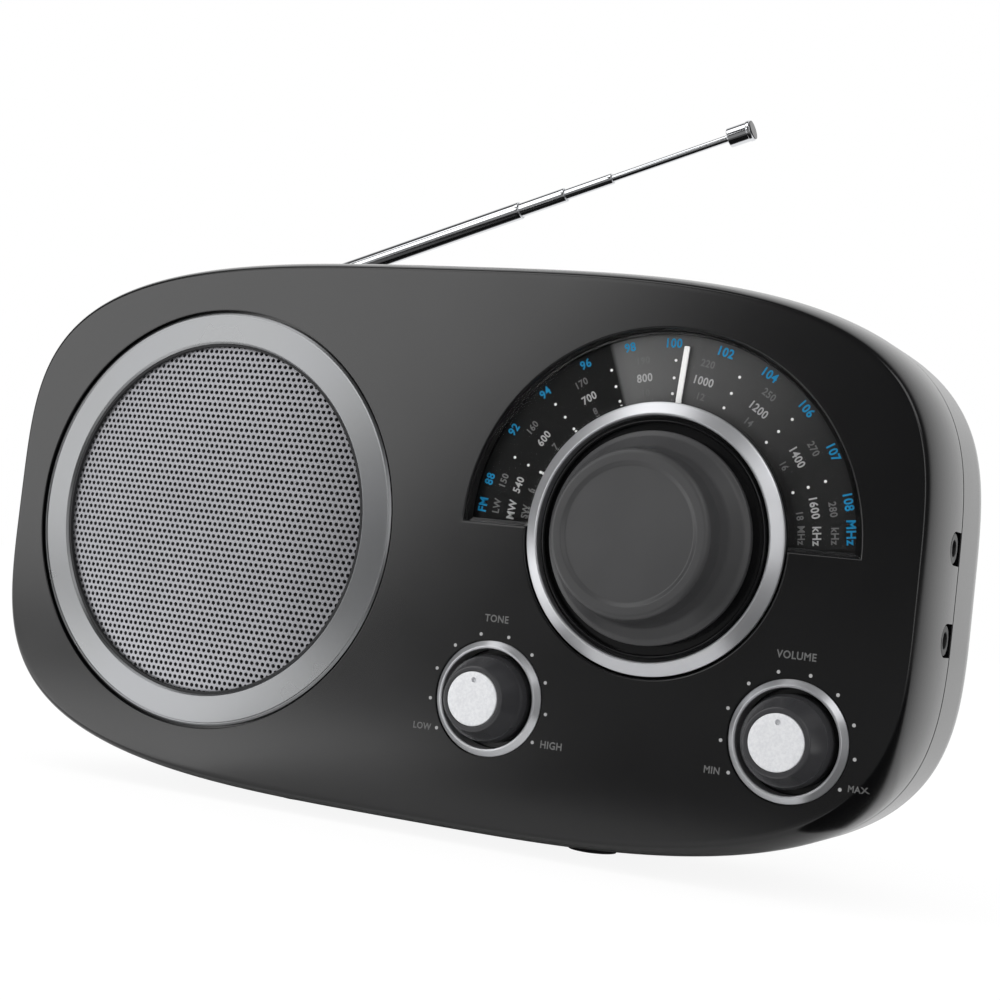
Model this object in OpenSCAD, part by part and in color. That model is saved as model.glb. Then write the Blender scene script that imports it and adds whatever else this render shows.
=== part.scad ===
// Portable shortwave receiver with a front loudspeaker, a half-round tuning scale, three knobs
// and a telescopic aerial that folds into a groove along the top.
// Millimetres. X runs to the right of the front panel, Y runs from the front to the rear, Z is up.
// Most parts are placed by their depth behind the flat front panel, counted along +Y.

/* [Cabinet] */
// Overall width of the cabinet
body_w = 240; // [232:1:300]
// Overall height of the cabinet
body_h = 132; // [126:1:160]
// Overall depth of the cabinet
body_d = 64; // [62:1:80]
// Exponent of the outline across its width, 2 is an ellipse
outline_p = 3.34; // [2.8:0.02:4.5]
// Exponent of the outline across its height, 2 is an ellipse
outline_q = 3.86; // [2.8:0.02:4.5]
// How far the flat front panel lies inside the widest outline
edge_in = 3.5; // [2:0.1:5]
// Depth over which the front edge rounds over
edge_d = 20; // [14:1:20]
// Radius that rounds the rear edge
rear_r = 27; // [24:1:32]
// Wall thickness of both cabinet halves
wall = 2.4; // [1.8:0.1:3]
// Thickness of the front panel
panel_t = 3.1; // [2.8:0.1:4]
// Depth of the parting line between the halves
seam_at = 21; // [21:0.5:24]
// Open groove at the parting line
seam_gap = 0.4; // [0.2:0.1:0.8]
// Length of the rear half's tongue inside the front half
tongue_l = 3.9; // [2:0.1:4]
// Thickness of the tongue
tongue_w = 1.3; // [1:0.1:1.6]
// Space between the tongue and the front half's wall
tongue_gap = 0.3; // [0.2:0.05:0.5]

/* [Loudspeaker] */
// Outer radius of the aluminium trim ring
ring_r = 51; // [46:0.5:53]
// Inner radius of the trim ring
ring_in_r = 43; // [38:0.5:44]
// Distance from the cabinet's side to the trim ring
ring_margin = 11; // [9:0.5:16]
// How far the ring's inner edge is dished below its outer edge
ring_dish = 0.85; // [0:0.05:1.2]
// Thickness of the perforated grille
grille_t = 0.8; // [0.5:0.1:1]
// Spacing of the grille's holes
grille_pitch = 2.93; // [2.8:0.01:4]
// Radius of the grille's holes
grille_hole_r = 0.9; // [0.6:0.05:1.1]
// Radius of the loudspeaker's cone
cone_r = 37.6; // [34:0.1:38]
// Travel of the cone each way
cone_travel = 1; // [0.5:0.1:1.5]
// Radius of the magnet
magnet_r = 21; // [18:0.5:21]

/* [Tuning scale] */
// Radius of the half-round window
window_r = 46.2; // [44:0.1:48]
// Distance from the cabinet's side to the window
window_margin = 15.8; // [14:0.1:20]
// Height of the scale's centre above the cabinet's centre
scale_z = 5.4; // [3:0.1:8]
// Width of the ledge that carries the window's lens
ledge_w = 1; // [0.6:0.1:1.4]
// Thickness of the clear lens
lens_t = 1.2; // [0.8:0.1:1.4]
// Thickness of the printed scale plate
scale_t = 1; // [0.8:0.1:1.5]

/* [Tuning knob] */
// Height of the tuning knob above the panel
knob_h = 14.3; // [12:0.1:18]
// Radius of the tuning knob's flat front
knob_r = 18.2; // [16:0.1:19]
// Radius of the flared foot of the tuning knob
knob_foot_r = 23.4; // [21:0.1:24]
// Outer radius of the silver tuning ring
tune_ring_r = 30; // [28:0.1:31]
// Inner radius of the silver tuning ring
tune_ring_in_r = 26.9; // [25:0.1:27.5]
// Height of the tuning ring's inner edge above the panel
tune_ring_h = 1.6; // [1:0.1:2.2]
// Length of the needle from the knob's axis
needle_l = 42.8; // [38:0.1:43.5]
// Width of the needle
needle_w = 1.3; // [0.8:0.1:1.6]
// Angle of the needle from straight up at rest, clockwise
needle_angle = 3.5; // [-5:0.5:5]
// Radius of all three control shafts
shaft_r = 3; // [2.5:0.1:3.2]

/* [Tone and volume knobs] */
// Distance of each small knob to the left and right of the scale's centre
small_knob_x = 35; // [33:0.5:38]
// Height of the small knobs above the cabinet's lowest line
small_knob_up = 32; // [28:0.5:32]
// Outer radius of the silver bezels
bezel_r = 13; // [12.5:0.1:13.5]
// Inner radius of the silver bezels
bezel_in_r = 11.2; // [10.8:0.1:11.6]
// Height of the bezels above the panel
bezel_h = 0.9; // [0.5:0.1:1.2]
// Radius of the well in which a small knob turns
well_r = 11.9; // [11.8:0.05:12.2]
// Depth of the well
well_d = 5; // [4:0.1:6]
// Radius of a small knob at its foot
small_knob_r = 9.9; // [9:0.1:10.4]
// Height of a small knob above the panel
small_knob_h = 8.8; // [7:0.1:11]
// Radius of the pale disc on a small knob
cap_r = 6.3; // [5.5:0.1:6.6]

/* [Telescopic aerial] */
// Distance of the aerial's pivot from the cabinet's left side
aerial_from_side = 38.4; // [34:0.1:44]
// Depth of the aerial behind the front panel
aerial_at = 42.8; // [40:0.1:46]
// How far the pivot lies below the top of the cabinet
aerial_below_top = 5.8; // [4.2:0.1:5.8]
// Angle of the aerial above level at rest
aerial_angle = 18.9; // [0:0.1:60]
// Radius of the widest tube
tube_r = 2.25; // [2:0.05:2.4]
// Length of the aerial's outer tube from the pivot
tube_l = 82.2; // [70:0.1:90]
// How far each further section sticks out at rest, innermost last
section_out = [12.8, 13, 31.1]; // [8:0.1:34]
// Length of each sliding section
section_l = 71; // [60:1:72]
// Length of the end cap
tip_l = 6.3; // [5:0.1:8]
// Radius of the end cap, without its flange
tip_r = 2.4; // [2:0.05:2.6]

/* [Power] */
// Radius of one battery cell
cell_r = 13.1; // [7.2:0.1:13.2]
// Length of one battery cell
cell_l = 50; // [48:0.5:50.5]
// Number of cells side by side
cells = 4; // [2:1:4]
// Wall of the battery tray
tray_w = 1.6; // [1.2:0.1:2]
// Thickness of the battery door
door_t = 1.6; // [1.2:0.1:1.6]

/* [Sockets and switch] */
// Radius of the bore in both side sockets, for a 3.5 mm plug
jack_bore_r = 1.8; // [1.75:0.01:1.85]
// Depth of the bore in both side sockets
jack_bore_l = 14; // [12:0.5:15]
// Heights of the two side sockets above the cabinet's centre
jack_z = [10, -9.5]; // [-12:0.5:12]
// Radius of the half-round notch for a side socket
jack_notch_r = 3.6; // [3.5:0.05:4]
// Travel of the wave-band slider, four places
band_travel = 10.5; // [7:0.5:12]

/* [Feet and screws] */
// How far the rubber feet lift the cabinet
foot_h = 1.6; // [1.2:0.1:4]
// Radius of the rubber feet
foot_r = 6; // [4:0.5:8]
// Distance of the feet to each side of the middle
foot_x = 40; // [30:1:60]
// Radius of the screw posts
post_r = 4.2; // [3.6:0.1:4.5]
// Radius of the case screws' shanks
screw_r = 1.5; // [1.2:0.1:1.7]

/* [Hidden] */
$fn = 64;

// Small distances that more than one part uses
eps = 0.02;           // overlap of cutting bodies past a face
run_gap = 0.05;       // radial clearance of a turning or sliding fit
fit_gap = 0.15;       // clearance of a part laid in its seat
turn_gap = 0.5;       // open gap round the tuning ring

// Places derived from the sizes above
face_y = -(body_d - knob_h) / 2;                 // Y of the flat front panel
mid_z = foot_h + body_h / 2;                     // Z of the cabinet's centre
speaker_x = -(body_w / 2 - ring_margin - ring_r);
scale_x = body_w / 2 - window_margin - window_r;
small_z = -(body_h / 2 - small_knob_up);
tone_x = scale_x - small_knob_x;
volume_x = scale_x + small_knob_x;
rear_in = body_d - wall;                         // depth of the rear wall's inner face

// Cabinet outline
outline_n = 96;       // points round the outline
function signed_pow(v, e) = sign(v) * pow(abs(v), e);
function outline(a, b) = [
    for (i = [0 : outline_n - 1])
        let (u = 360 * i / outline_n)
        [a * signed_pow(cos(u), 2 / outline_p), b * signed_pow(sin(u), 2 / outline_q)]
];
// How far the outer skin lies inside the widest outline at depth t
function skin_in(t) =
    t < edge_d ? edge_in * (1 - sqrt(1 - pow(1 - t / edge_d, 2))) :
    t > body_d - rear_r ? rear_r - sqrt(max(0, pow(rear_r, 2) - pow(t - body_d + rear_r, 2))) : 0;
// The same for the inner skin of the rear half
function lining_in(t) =
    let (r = rear_r - wall, over = t - body_d + rear_r)
    wall + (over > 0 ? r - sqrt(max(0, pow(r, 2) - pow(over, 2))) : 0);

// Closed body through outlines: stations holds [depth, inset] pairs from front to rear
module loft(stations) {
    n = outline_n;
    m = len(stations);
    points = [
        for (s = stations)
            for (p = outline(body_w / 2 - s[1], body_h / 2 - s[1]))
                [p[0], face_y + s[0], mid_z + p[1]]
    ];
    sides = [
        for (k = [0 : m - 2])
            for (i = [0 : n - 1])
                let (a = k * n + i, b = k * n + (i + 1) % n)
                each [[a, b, b + n], [a, b + n, a + n]]
    ];
    front = [for (i = [n - 1 : -1 : 0]) i];
    rear = [for (i = [0 : n - 1]) (m - 1) * n + i];
    polyhedron(points = points, faces = concat(sides, [front, rear]), convexity = 4);
}

// Places children at x, z from the cabinet's centre and depth t behind the panel
module place(x, z, t = 0) {
    translate([x, face_y + t, mid_z + z]) children();
}
// Round bar along Y between two depths
module bar_y(r, t0, t1) {
    translate([0, t0, 0]) rotate([-90, 0, 0]) cylinder(r = r, h = t1 - t0);
}
// Round bar along X between two places
module bar_x(r, x0, x1) {
    translate([x0, 0, 0]) rotate([0, 90, 0]) cylinder(r = r, h = x1 - x0);
}
// Flat outline in X and Z, made solid between two depths
module slab_y(t0, t1) {
    translate([0, t1, 0]) rotate([90, 0, 0]) linear_extrude(t1 - t0) children();
}
// Turned part about Y from [radius, depth] points
module turned(points) {
    rotate([-90, 0, 0]) rotate_extrude() polygon(points);
}
// Block centred in X and Z between two depths
module block_y(w, h, t0, t1) {
    translate([-w / 2, t0, -h / 2]) cube([w, t1 - t0, h]);
}
// Rectangle with round corners
module round_rect(w, h, r) {
    translate([-w / 2 + r, -h / 2]) square([w - 2 * r, h]);
    translate([-w / 2, -h / 2 + r]) square([w, h - 2 * r]);
    for (x = [-1, 1], z = [-1, 1])
        translate([x * (w / 2 - r), z * (h / 2 - r)]) circle(r);
}
// Points of an arc about [cx, cy]
function arc(cx, cy, r, from, to, steps) = [
    for (i = [0 : steps])
        let (u = from + (to - from) * i / steps)
        [cx + r * cos(u), cy + r * sin(u)]
];

// ---------------------------------------------------------------- cabinet
edge_steps = 8;
front_skin = [
    for (i = [0 : edge_steps])
        let (t = edge_d * (1 - cos(90 * i / edge_steps)))
        [t, skin_in(t)],
    [seam_at, 0]
];
front_lining = concat(
    [for (t = [panel_t, 8, 14]) [t, wall + skin_in(t)]],
    [[seam_at + eps, wall]]
);
rear_steps = 7;
rear_skin = concat(
    [[seam_at + seam_gap, 0]],
    [for (i = [0 : rear_steps])
        let (t = body_d - rear_r + rear_r * sin(90 * i / rear_steps))
        [t, rear_r * (1 - cos(90 * i / rear_steps))]]
);
lining_steps = 4;
lining_r = rear_r - wall;
rear_lining = concat(
    [[seam_at + seam_gap - eps, wall]],
    [for (i = [0 : lining_steps])
        let (t = body_d - rear_r + lining_r * sin(90 * i / lining_steps))
        [t, wall + lining_r * (1 - cos(90 * i / lining_steps))]]
);

// Screw posts: inwards from the corners, and one pair at the middle of the top and bottom
post_t = 36;          // depth where the front posts meet the rear tubes
posts = [
    [-(body_w / 2 - 19), body_h / 2 - 26], [0, body_h / 2 - 18], [body_w / 2 - 19, body_h / 2 - 26],
    [-(body_w / 2 - 19), -(body_h / 2 - 26)], [0, -(body_h / 2 - 16)],
    [body_w / 2 - 15, -23]
];
head_r = 2.9;         // case screw head
head_h = 2.2;
screw_l = 14;         // thread inside a post
tube_floor = 2.4;     // floor of the rear tubes under the screw heads
tube_out_r = head_r + 2.3;
pad_t = 1.5;          // moulded pad behind the panel that carries the loudspeaker
pad_r = ring_r + 3;
seat_t = 2.4;         // depth of the rebate in which the trim ring lies
speaker_hole_r = ring_in_r + 0.4;
flange_t = panel_t + pad_t;        // depth of the loudspeaker's flange
flange_r = pad_r - 4;
screw_ring_r = flange_r - 3;
bush_hole_r = shaft_r + 0.7;
well_floor = 1.6;

jack_at = seam_at - jack_notch_r - 1;
tongue_free = 36;     // the right wall has no tongue this far above and below its middle

// U-shaped notch in the right wall, open to the parting line
module jack_notch(r, to) {
    for (z = jack_z)
        place(body_w / 2, z, jack_at) {
            bar_x(r, -12, 2);
            translate([-12, 0, -r]) cube([14, to - jack_at, 2 * r]);
        }
}

module window_outline(r, lift) {
    intersection() {
        circle(r);
        translate([-r, lift]) square([2 * r, r]);
    }
    circle(tune_ring_r + turn_gap);
}

module front_cabinet() {
    color("#1b1b1d") difference() {
        union() {
            difference() {
                loft(front_skin);
                loft(front_lining);
            }
            for (p = posts) place(p[0], p[1]) bar_y(post_r, panel_t / 2, post_t);
            for (x = [tone_x, volume_x])
                place(x, small_z) bar_y(well_r + 1.6, panel_t / 2, well_d + well_floor);
            place(speaker_x, 0) bar_y(pad_r, panel_t / 2, flange_t);
        }
        place(speaker_x, 0) {
            bar_y(ring_r + fit_gap, -2, seat_t);
            bar_y(speaker_hole_r, -2, flange_t + 1);
            for (a = [45 : 90 : 315])
                rotate([0, a, 0]) translate([screw_ring_r, 0, 0])
                    bar_y(screw_r + eps, seat_t + 0.8, flange_t + 1);
        }
        place(scale_x, scale_z) {
            slab_y(-2, panel_t - ledge_depth) window_outline(window_r, 0);
            slab_y(-2, panel_t + 1) window_outline(window_r - ledge_w, ledge_w);
        }
        for (x = [tone_x, volume_x])
            place(x, small_z) {
                bar_y(well_r, -2, well_d);
                bar_y(bush_hole_r, -2, well_d + well_floor + 1);
            }
        for (p = posts)
            place(p[0], p[1]) bar_y(screw_r + eps, post_t - screw_l, post_t + 1);
        jack_notch(jack_notch_r, seam_at + 1);
    }
}
ledge_depth = panel_t - lens_t - 0.2;   // height of the ledge behind the lens

// Groove for the folded aerial
aerial_x = -(body_w / 2 - aerial_from_side);
aerial_z = body_h / 2 - aerial_below_top;
groove_r = tube_r + 0.95;
trough_w = 2.2;       // material round the groove
module groove_bar(r, rise) {
    place(0, aerial_z, aerial_at) {
        bar_x(r, -body_w / 2, body_w / 2);
        translate([-body_w / 2, -r, 0]) cube([body_w, 2 * r, rise]);
    }
}
ear_t = 1;            // sheet of the aerial's bracket
tongue_t = 2.4;       // flat of the knuckle between the ears
fork_w = tongue_t + 2 * ear_t + 2 * run_gap;
ear_r = 2.4;
bracket_l = 14;       // foot of the bracket along the groove
bracket_w = 6.8;      // and across it
bracket_z = aerial_z - groove_r - trough_w - 2;   // underside of the pad it is fixed to

// Rear openings
bay_w = cells * (2 * cell_r + 0.6);
bay_h = cell_l + 3.2;
bay_d = 2 * cell_r + 1;
bay_x = 20;
bay_z = -2;
door_margin = 3;
door_w = bay_w + 2 * door_margin;
door_h = bay_h + 2 * door_margin;
door_r = 4;
inlet_x = speaker_x - 6;
inlet_z = 2;
inlet_w = 21.6;
inlet_h = 11.6;
band_x = speaker_x - 6;
band_z = 21;
band_slot_w = band_travel + 6.4;
band_slot_h = 5;
band_dish_t = 1.6;    // depth of the finger dish round the slider

module stadium(w, h) {
    translate([-(w - h) / 2, -h / 2]) square([w - h, h]);
    for (x = [-1, 1]) translate([x * (w - h) / 2, 0]) circle(h / 2);
}

// Feet: each pair sits under the rear half, on moulded plinths
plinth_w = 2;         // material round a foot
foot_at = [seam_at + seam_gap + foot_r + plinth_w + 0.3, body_d - rear_r + 14];
plinth_low = 0.3;     // how far a plinth reaches below the cabinet
socket_t = 1.2;
module at_feet() {
    for (x = [-1, 1], t = foot_at)
        place(x * foot_x, -body_h / 2, t) children();
}

// Mains transformer below the loudspeaker's magnet, on two posts of the rear half
core_w = 35;
core_h = 30;
core_t = 14;          // lamination stack
limb = 5;             // outer limbs, the middle one is twice as wide
flange_w = 1.2;       // sheet of its frame
lug = 4;              // how far its mounting lugs reach past the stack
core_x = speaker_x + 1;
core_z = -(body_h / 2 - 24);
core_at = rear_in - 17.6;          // depth of the stack's rear
module at_core_posts() {
    for (x = [-1, 1]) place(core_x + x * (core_w / 2 + lug), core_z) children();
}

module rear_cabinet() {
    color("#1d1d1f") difference() {
        union() {
            difference() {
                union() {
                    loft(rear_skin);
                    at_feet() translate([0, 0, -plinth_low]) cylinder(r = foot_r + plinth_w, h = 14);
                }
                loft(rear_lining);
            }
            difference() {
                loft([
                    [seam_at - tongue_l, wall + tongue_gap], [seam_at + seam_gap, wall + tongue_gap],
                    [seam_at + seam_gap + 0.01, wall / 2], [seam_at + 3, wall / 2]
                ]);
                loft([
                    [seam_at - tongue_l - 1, wall + tongue_gap + tongue_w],
                    [seam_at + 4, wall + tongue_gap + tongue_w]
                ]);
            }
            intersection() {
                loft(rear_skin);
                union() {
                    groove_bar(groove_r + trough_w, 20);
                    place(aerial_x - ear_r, bracket_z, aerial_at)
                        translate([0, -bracket_w / 2, 0]) cube([bracket_l, bracket_w, aerial_z - bracket_z]);
                    for (p = posts) place(p[0], p[1]) bar_y(tube_out_r, post_t, body_d);
                    at_core_posts() bar_y(3, core_at + flange_w, body_d - 1.5);
                }
            }
        }
        groove_bar(groove_r, 20);
        place(aerial_x, aerial_z, aerial_at)
            translate([-ear_r - fit_gap, -fork_w / 2 - fit_gap, -12])
                cube([2 * (ear_r + fit_gap), fork_w + 2 * fit_gap, 14]);
        for (p = posts) place(p[0], p[1]) {
            bar_y(head_r + 0.5, post_t + tube_floor, body_d + 2);
            bar_y(screw_r + fit_gap, post_t - 1, body_d);
        }
        at_core_posts() bar_y(1.2, core_at, core_at + 12);
        at_feet() translate([0, 0, -5]) cylinder(r = foot_r + fit_gap, h = 5 - plinth_low + socket_t);
        place(bay_x, bay_z) {
            slab_y(rear_in - 2, body_d + 2) square([bay_w, bay_h], center = true);
            slab_y(body_d - door_t, body_d + 2)
                round_rect(door_w + 2 * fit_gap, door_h + 2 * fit_gap, door_r);
        }
        place(inlet_x, inlet_z) slab_y(rear_in - 2, body_d + 2)
            stadium(inlet_w + 2 * fit_gap, inlet_h + 2 * fit_gap);
        place(band_x, band_z) {
            block_y(band_slot_w, band_slot_h, rear_in - 2, body_d + 2);
            slab_y(body_d - band_dish_t, body_d + 2) stadium(band_slot_w + 8, band_slot_h + 5);
        }
        place(body_w / 2 - 12, -tongue_free, seam_at - tongue_l - 1)
            cube([14, tongue_l + 1 + seam_gap, 2 * tongue_free]);
    }
}

// ---------------------------------------------------------------- loudspeaker
module speaker_trim_ring() {
    color("#c9cacd") place(speaker_x, 0) turned([
        [ring_r, 0.25], [ring_r - 0.35, -0.1], [ring_r - 1.2, -0.1], [ring_in_r + 0.5, ring_dish - 0.1],
        [ring_in_r, ring_dish + 0.2], [ring_in_r, seat_t - grille_t],
        [ring_r - 4, seat_t - grille_t], [ring_r - 4, seat_t], [ring_r, seat_t]
    ]);
}

grille_r = ring_r - 4 - fit_gap;
module speaker_grille() {
    rows = floor(ring_in_r / grille_pitch);
    color("#a9a9ad") place(speaker_x, 0) slab_y(seat_t - grille_t, seat_t) difference() {
        circle(grille_r);
        for (j = [-rows : rows], i = [-rows : rows]) {
            x = (i + (j % 2 == 0 ? 0 : 0.5)) * grille_pitch;
            z = j * grille_pitch;
            if (norm([x, z]) < ring_in_r - grille_hole_r - 0.3)
                translate([x, z]) circle(grille_hole_r);
        }
    }
}

basket_d = 19;        // depth of the basket behind its flange
basket_t = flange_t + basket_d;
gap_r = 8.9;          // bore of the magnet's top plate
pole_r = 6.6;
module speaker_frame() {
    color("#8b8f94") place(speaker_x, 0) difference() {
        turned([
            [cone_r + 3.4, flange_t], [flange_r, flange_t], [flange_r, flange_t + 1.4],
            [cone_r + 4.6, flange_t + 1.4], [magnet_r + 2, basket_t - 1], [magnet_r + 2, basket_t + 1.4],
            [gap_r + 1, basket_t + 1.4], [gap_r + 1, basket_t], [magnet_r + 0.5, basket_t],
            [magnet_r + 0.5, basket_t - 1.4], [cone_r + 3.4, flange_t + 1]
        ]);
        for (a = [0 : 90 : 270])
            rotate([0, a, 0]) slab_y(flange_t + 3.5, basket_t - 2.5)
                polygon([[20, 6], [44, 20], [44, -20], [20, -6]]);
        for (a = [45 : 90 : 315])
            rotate([0, a, 0]) translate([screw_ring_r, 0, 0])
                bar_y(screw_r + fit_gap, 0, flange_t + 3);
    }
}

magnet_t = basket_t + 1.4;
module speaker_magnet() {
    color("#3c3d40") place(speaker_x, 0) turned([
        [gap_r, magnet_t], [magnet_r - 1.5, magnet_t], [magnet_r - 1.5, magnet_t + 2.5],
        [magnet_r, magnet_t + 2.5], [magnet_r, magnet_t + 10.5], [magnet_r - 1.5, magnet_t + 10.5],
        [magnet_r - 1.5, magnet_t + 13], [0, magnet_t + 13], [0, magnet_t],
        [pole_r, magnet_t], [pole_r, magnet_t + 10.5], [gap_r, magnet_t + 10.5]
    ]);
}

module speaker_surround() {
    roll_r = 1.6;
    roll_c = cone_r + 0.4 + roll_r;
    color("#202022") place(speaker_x, 0) turned(concat(
        [[speaker_hole_r - fit_gap, flange_t - 0.5]],
        arc(roll_c, flange_t - 0.2, roll_r, 0, -180, 10),
        arc(roll_c, flange_t - 0.2, roll_r - 0.5, -180, 0, 10),
        [[roll_c + roll_r - 0.5, flange_t], [speaker_hole_r - fit_gap, flange_t]]
    ));
}

coil_r = 8;
module speaker_cone() {
    lip = flange_t + 0.4;
    back = basket_t - 4;
    color("#4a4844") place(speaker_x, 0) turned([
        [cone_r - 0.9, lip], [cone_r, lip], [cone_r, lip + 0.6], [coil_r + 0.6, back + 0.8],
        [coil_r, back + 2], [coil_r, magnet_t + 6], [coil_r - 0.6, magnet_t + 6],
        [coil_r - 0.6, back + 0.6], [coil_r + 0.2, back]
    ]);
}

module speaker_dust_cap() {
    cap_out = 11;
    rise = 3.2;
    seat = flange_t + 0.4 + (basket_t - 4.4 - flange_t) * (cone_r - cap_out) / (cone_r - coil_r) - 0.9;
    sphere_r = (pow(cap_out, 2) + pow(rise, 2)) / (2 * rise);
    half = asin(cap_out / sphere_r);
    color("#2b2b2d") place(speaker_x, 0) turned(concat(
        arc(0, seat + sphere_r - rise, sphere_r, -90, -90 + half, 8),
        arc(0, seat + sphere_r - rise, sphere_r - 0.5, -90 + half * 0.98, -90, 8)
    ));
}

module speaker_screws() {
    color("#b8b9bc") place(speaker_x, 0) for (a = [45 : 90 : 315])
        rotate([0, a, 0]) translate([screw_ring_r, 0, 0]) {
            bar_y(screw_r, seat_t + 1, flange_t + 1.5);
            difference() {
                bar_y(2.6, flange_t + 1.4, flange_t + 3);
                block_y(4, 0.6, flange_t + 2.4, flange_t + 4);
                block_y(0.6, 4, flange_t + 2.4, flange_t + 4);
            }
        }
}

// ---------------------------------------------------------------- tuning scale and knob
plate_r = window_r + 2.8;
hub_t = 0.9;          // depth of the needle hub's front
hub_w = 1.2;
needle_t = 0.5;
module scale_plate() {
    color("#1e1e20") place(scale_x, scale_z) slab_y(panel_t, panel_t + scale_t) difference() {
        union() {
            intersection() {
                circle(plate_r);
                translate([-plate_r, -3]) square([2 * plate_r, 2 * plate_r]);
            }
            circle(tune_ring_r + 3);
        }
        circle(shaft_r + 1.2);
    }
}

module scale_lens() {
    r = window_r - fit_gap;
    color([0.8, 0.85, 0.9, 0.3]) place(scale_x, scale_z)
        slab_y(0.2, 0.2 + lens_t) difference() {
            intersection() {
                circle(r);
                translate([-r, fit_gap]) square([2 * r, r]);
            }
            circle(tune_ring_r + turn_gap + 0.1);
        }
}

grip_h = knob_h - 9.2;
knob_base = hub_t;
module tuning_knob() {
    dish_r = 13.2;
    color("#4a4a4c") place(scale_x, scale_z) difference() {
        turned(concat(
            [[0, -knob_h + 0.7], [dish_r, -knob_h + 0.7], [dish_r + 1.4, -knob_h + 0.1]],
            arc(knob_r - 2, -knob_h + 2, 2, -90, -8, 5),
            [[knob_r + 0.4, -knob_h + 5.5], [knob_r + 1.2, -grip_h - 1.2], [knob_foot_r - 2, -3.6],
             [knob_foot_r, -2.6], [knob_foot_r, -1.4], [knob_foot_r - 1, knob_base], [0, knob_base]]
        ));
        bar_y(shaft_r + eps, -knob_h + 4, knob_base + 1);
    }
}

module tuning_ring() {
    color("#d4d5d8") place(scale_x, scale_z) turned([
        [tune_ring_in_r, hub_t], [tune_ring_in_r, -tune_ring_h + 0.3],
        [tune_ring_in_r + 0.35, -tune_ring_h], [tune_ring_r - 0.5, -0.25], [tune_ring_r, 0.1],
        [tune_ring_r, hub_t]
    ]);
}

module needle_hub() {
    ridge_r = tune_ring_in_r - 1.2;
    color("#101012") place(scale_x, scale_z) turned([
        [shaft_r + eps, hub_t], [ridge_r - 0.5, hub_t], [ridge_r - 0.35, -0.7], [ridge_r, -0.9],
        [ridge_r + 0.35, -0.7], [ridge_r + 0.5, hub_t], [tune_ring_r - 0.3, hub_t],
        [tune_ring_r - 0.3, hub_t + hub_w], [shaft_r + eps, hub_t + hub_w]
    ]);
}

module scale_needle() {
    color("#f4f4f2") place(scale_x, scale_z) rotate([0, needle_angle, 0])
        translate([-needle_w / 2, hub_t + hub_w, 12])
            cube([needle_w, needle_t, needle_l - 12]);
}

board_t = 14;         // depth of the main board's front
module tuning_shaft() {
    color("#b9a15a") place(scale_x, scale_z)
        bar_y(shaft_r, -knob_h + 4.2, board_t - 3);
}

cap_box = 20;
module tuning_capacitor() {
    color("#d9d4c4") place(scale_x, scale_z) difference() {
        union() {
            block_y(cap_box, cap_box, panel_t + scale_t, board_t);
            for (x = [-1, 1]) translate([x * 6, 0, cap_box / 2]) bar_y(1, board_t - 4, board_t);
        }
        bar_y(shaft_r + run_gap, 0, board_t - 2.8);
    }
}

// ---------------------------------------------------------------- tone and volume
module bezel(x) {
    color("#d4d5d8") place(x, small_z) turned([
        [bezel_in_r, well_d - 1], [bezel_in_r, -bezel_h + 0.3], [bezel_in_r + 0.3, -bezel_h],
        [bezel_in_r + 0.9, -bezel_h], [bezel_r, -0.35], [bezel_r, 0], [well_r - 0.05, 0],
        [well_r - 0.05, well_d - 1]
    ]);
}
module tone_bezel() bezel(tone_x);
module volume_bezel() bezel(volume_x);

module small_knob(x) {
    top = -small_knob_h + 0.5;
    color("#0f0f11") place(x, small_z) difference() {
        turned([
            [0, top], [small_knob_r - 2.9, top], [small_knob_r - 2.3, top + 0.5],
            [small_knob_r - 0.5, -3], [small_knob_r, -0.6], [small_knob_r, well_d - 1.2],
            [0, well_d - 1.2]
        ]);
        bar_y(cap_r + 0.05, top - 1, top + 1);
        bar_y(shaft_r + eps, top + 2.4, well_d);
    }
}
module tone_knob() small_knob(tone_x);
module volume_knob() small_knob(volume_x);

module knob_cap(x) {
    dot_r = 0.5;
    color("#e2e2e4") place(x, small_z) difference() {
        turned([
            [0, -small_knob_h], [cap_r - 0.4, -small_knob_h], [cap_r, -small_knob_h + 0.4],
            [cap_r, -small_knob_h + 1.5], [0, -small_knob_h + 1.5]
        ]);
        translate([0, 0, cap_r - 2.1]) bar_y(dot_r, -small_knob_h - 1, -small_knob_h + 0.8);
    }
}
module tone_cap() knob_cap(tone_x);
module volume_cap() knob_cap(volume_x);

module control_shaft(x) {
    color("#b9a15a") place(x, small_z) bar_y(shaft_r, -small_knob_h + 3, board_t - 2);
}
module tone_shaft() control_shaft(tone_x);
module volume_shaft() control_shaft(volume_x);

module control(x) {
    pot_r = 8.4;
    color("#9b9c9f") place(x, small_z) difference() {
        union() {
            bar_y(pot_r, well_d + well_floor, board_t);
            bar_y(bush_hole_r - fit_gap, well_d + 0.3, board_t);
            translate([0, 0, -6]) block_y(12, 7, board_t - 2.5, board_t);
        }
        bar_y(shaft_r + run_gap, 0, board_t - 1.8);
    }
}
module tone_control() control(tone_x);
module volume_control() control(volume_x);

// ---------------------------------------------------------------- main board
board_w = 1.6;
board_back = board_t + board_w;
ferrite_z = body_h / 2 - 17;
ferrite_r = 4;
ferrite_t = 25;
ferrite_x = [scale_x - 46, scale_x + 34];
clip_x = [ferrite_x[0] + 6, ferrite_x[1] - 6];
module main_board() {
    color("#1f5a34") difference() {
        slab_board();
        for (p = posts) place(p[0], p[1]) bar_y(post_r + 1, board_t - 1, board_back + 1);
    }
}
module slab_board() {
    place(0, 0) slab_y(board_t, board_back) intersection() {
        polygon(outline(body_w / 2 - 7, body_h / 2 - 7));
        translate([scale_x - 50, small_z - 12])
            square([95, ferrite_z + 3 - small_z + 12]);
    }
}

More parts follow.
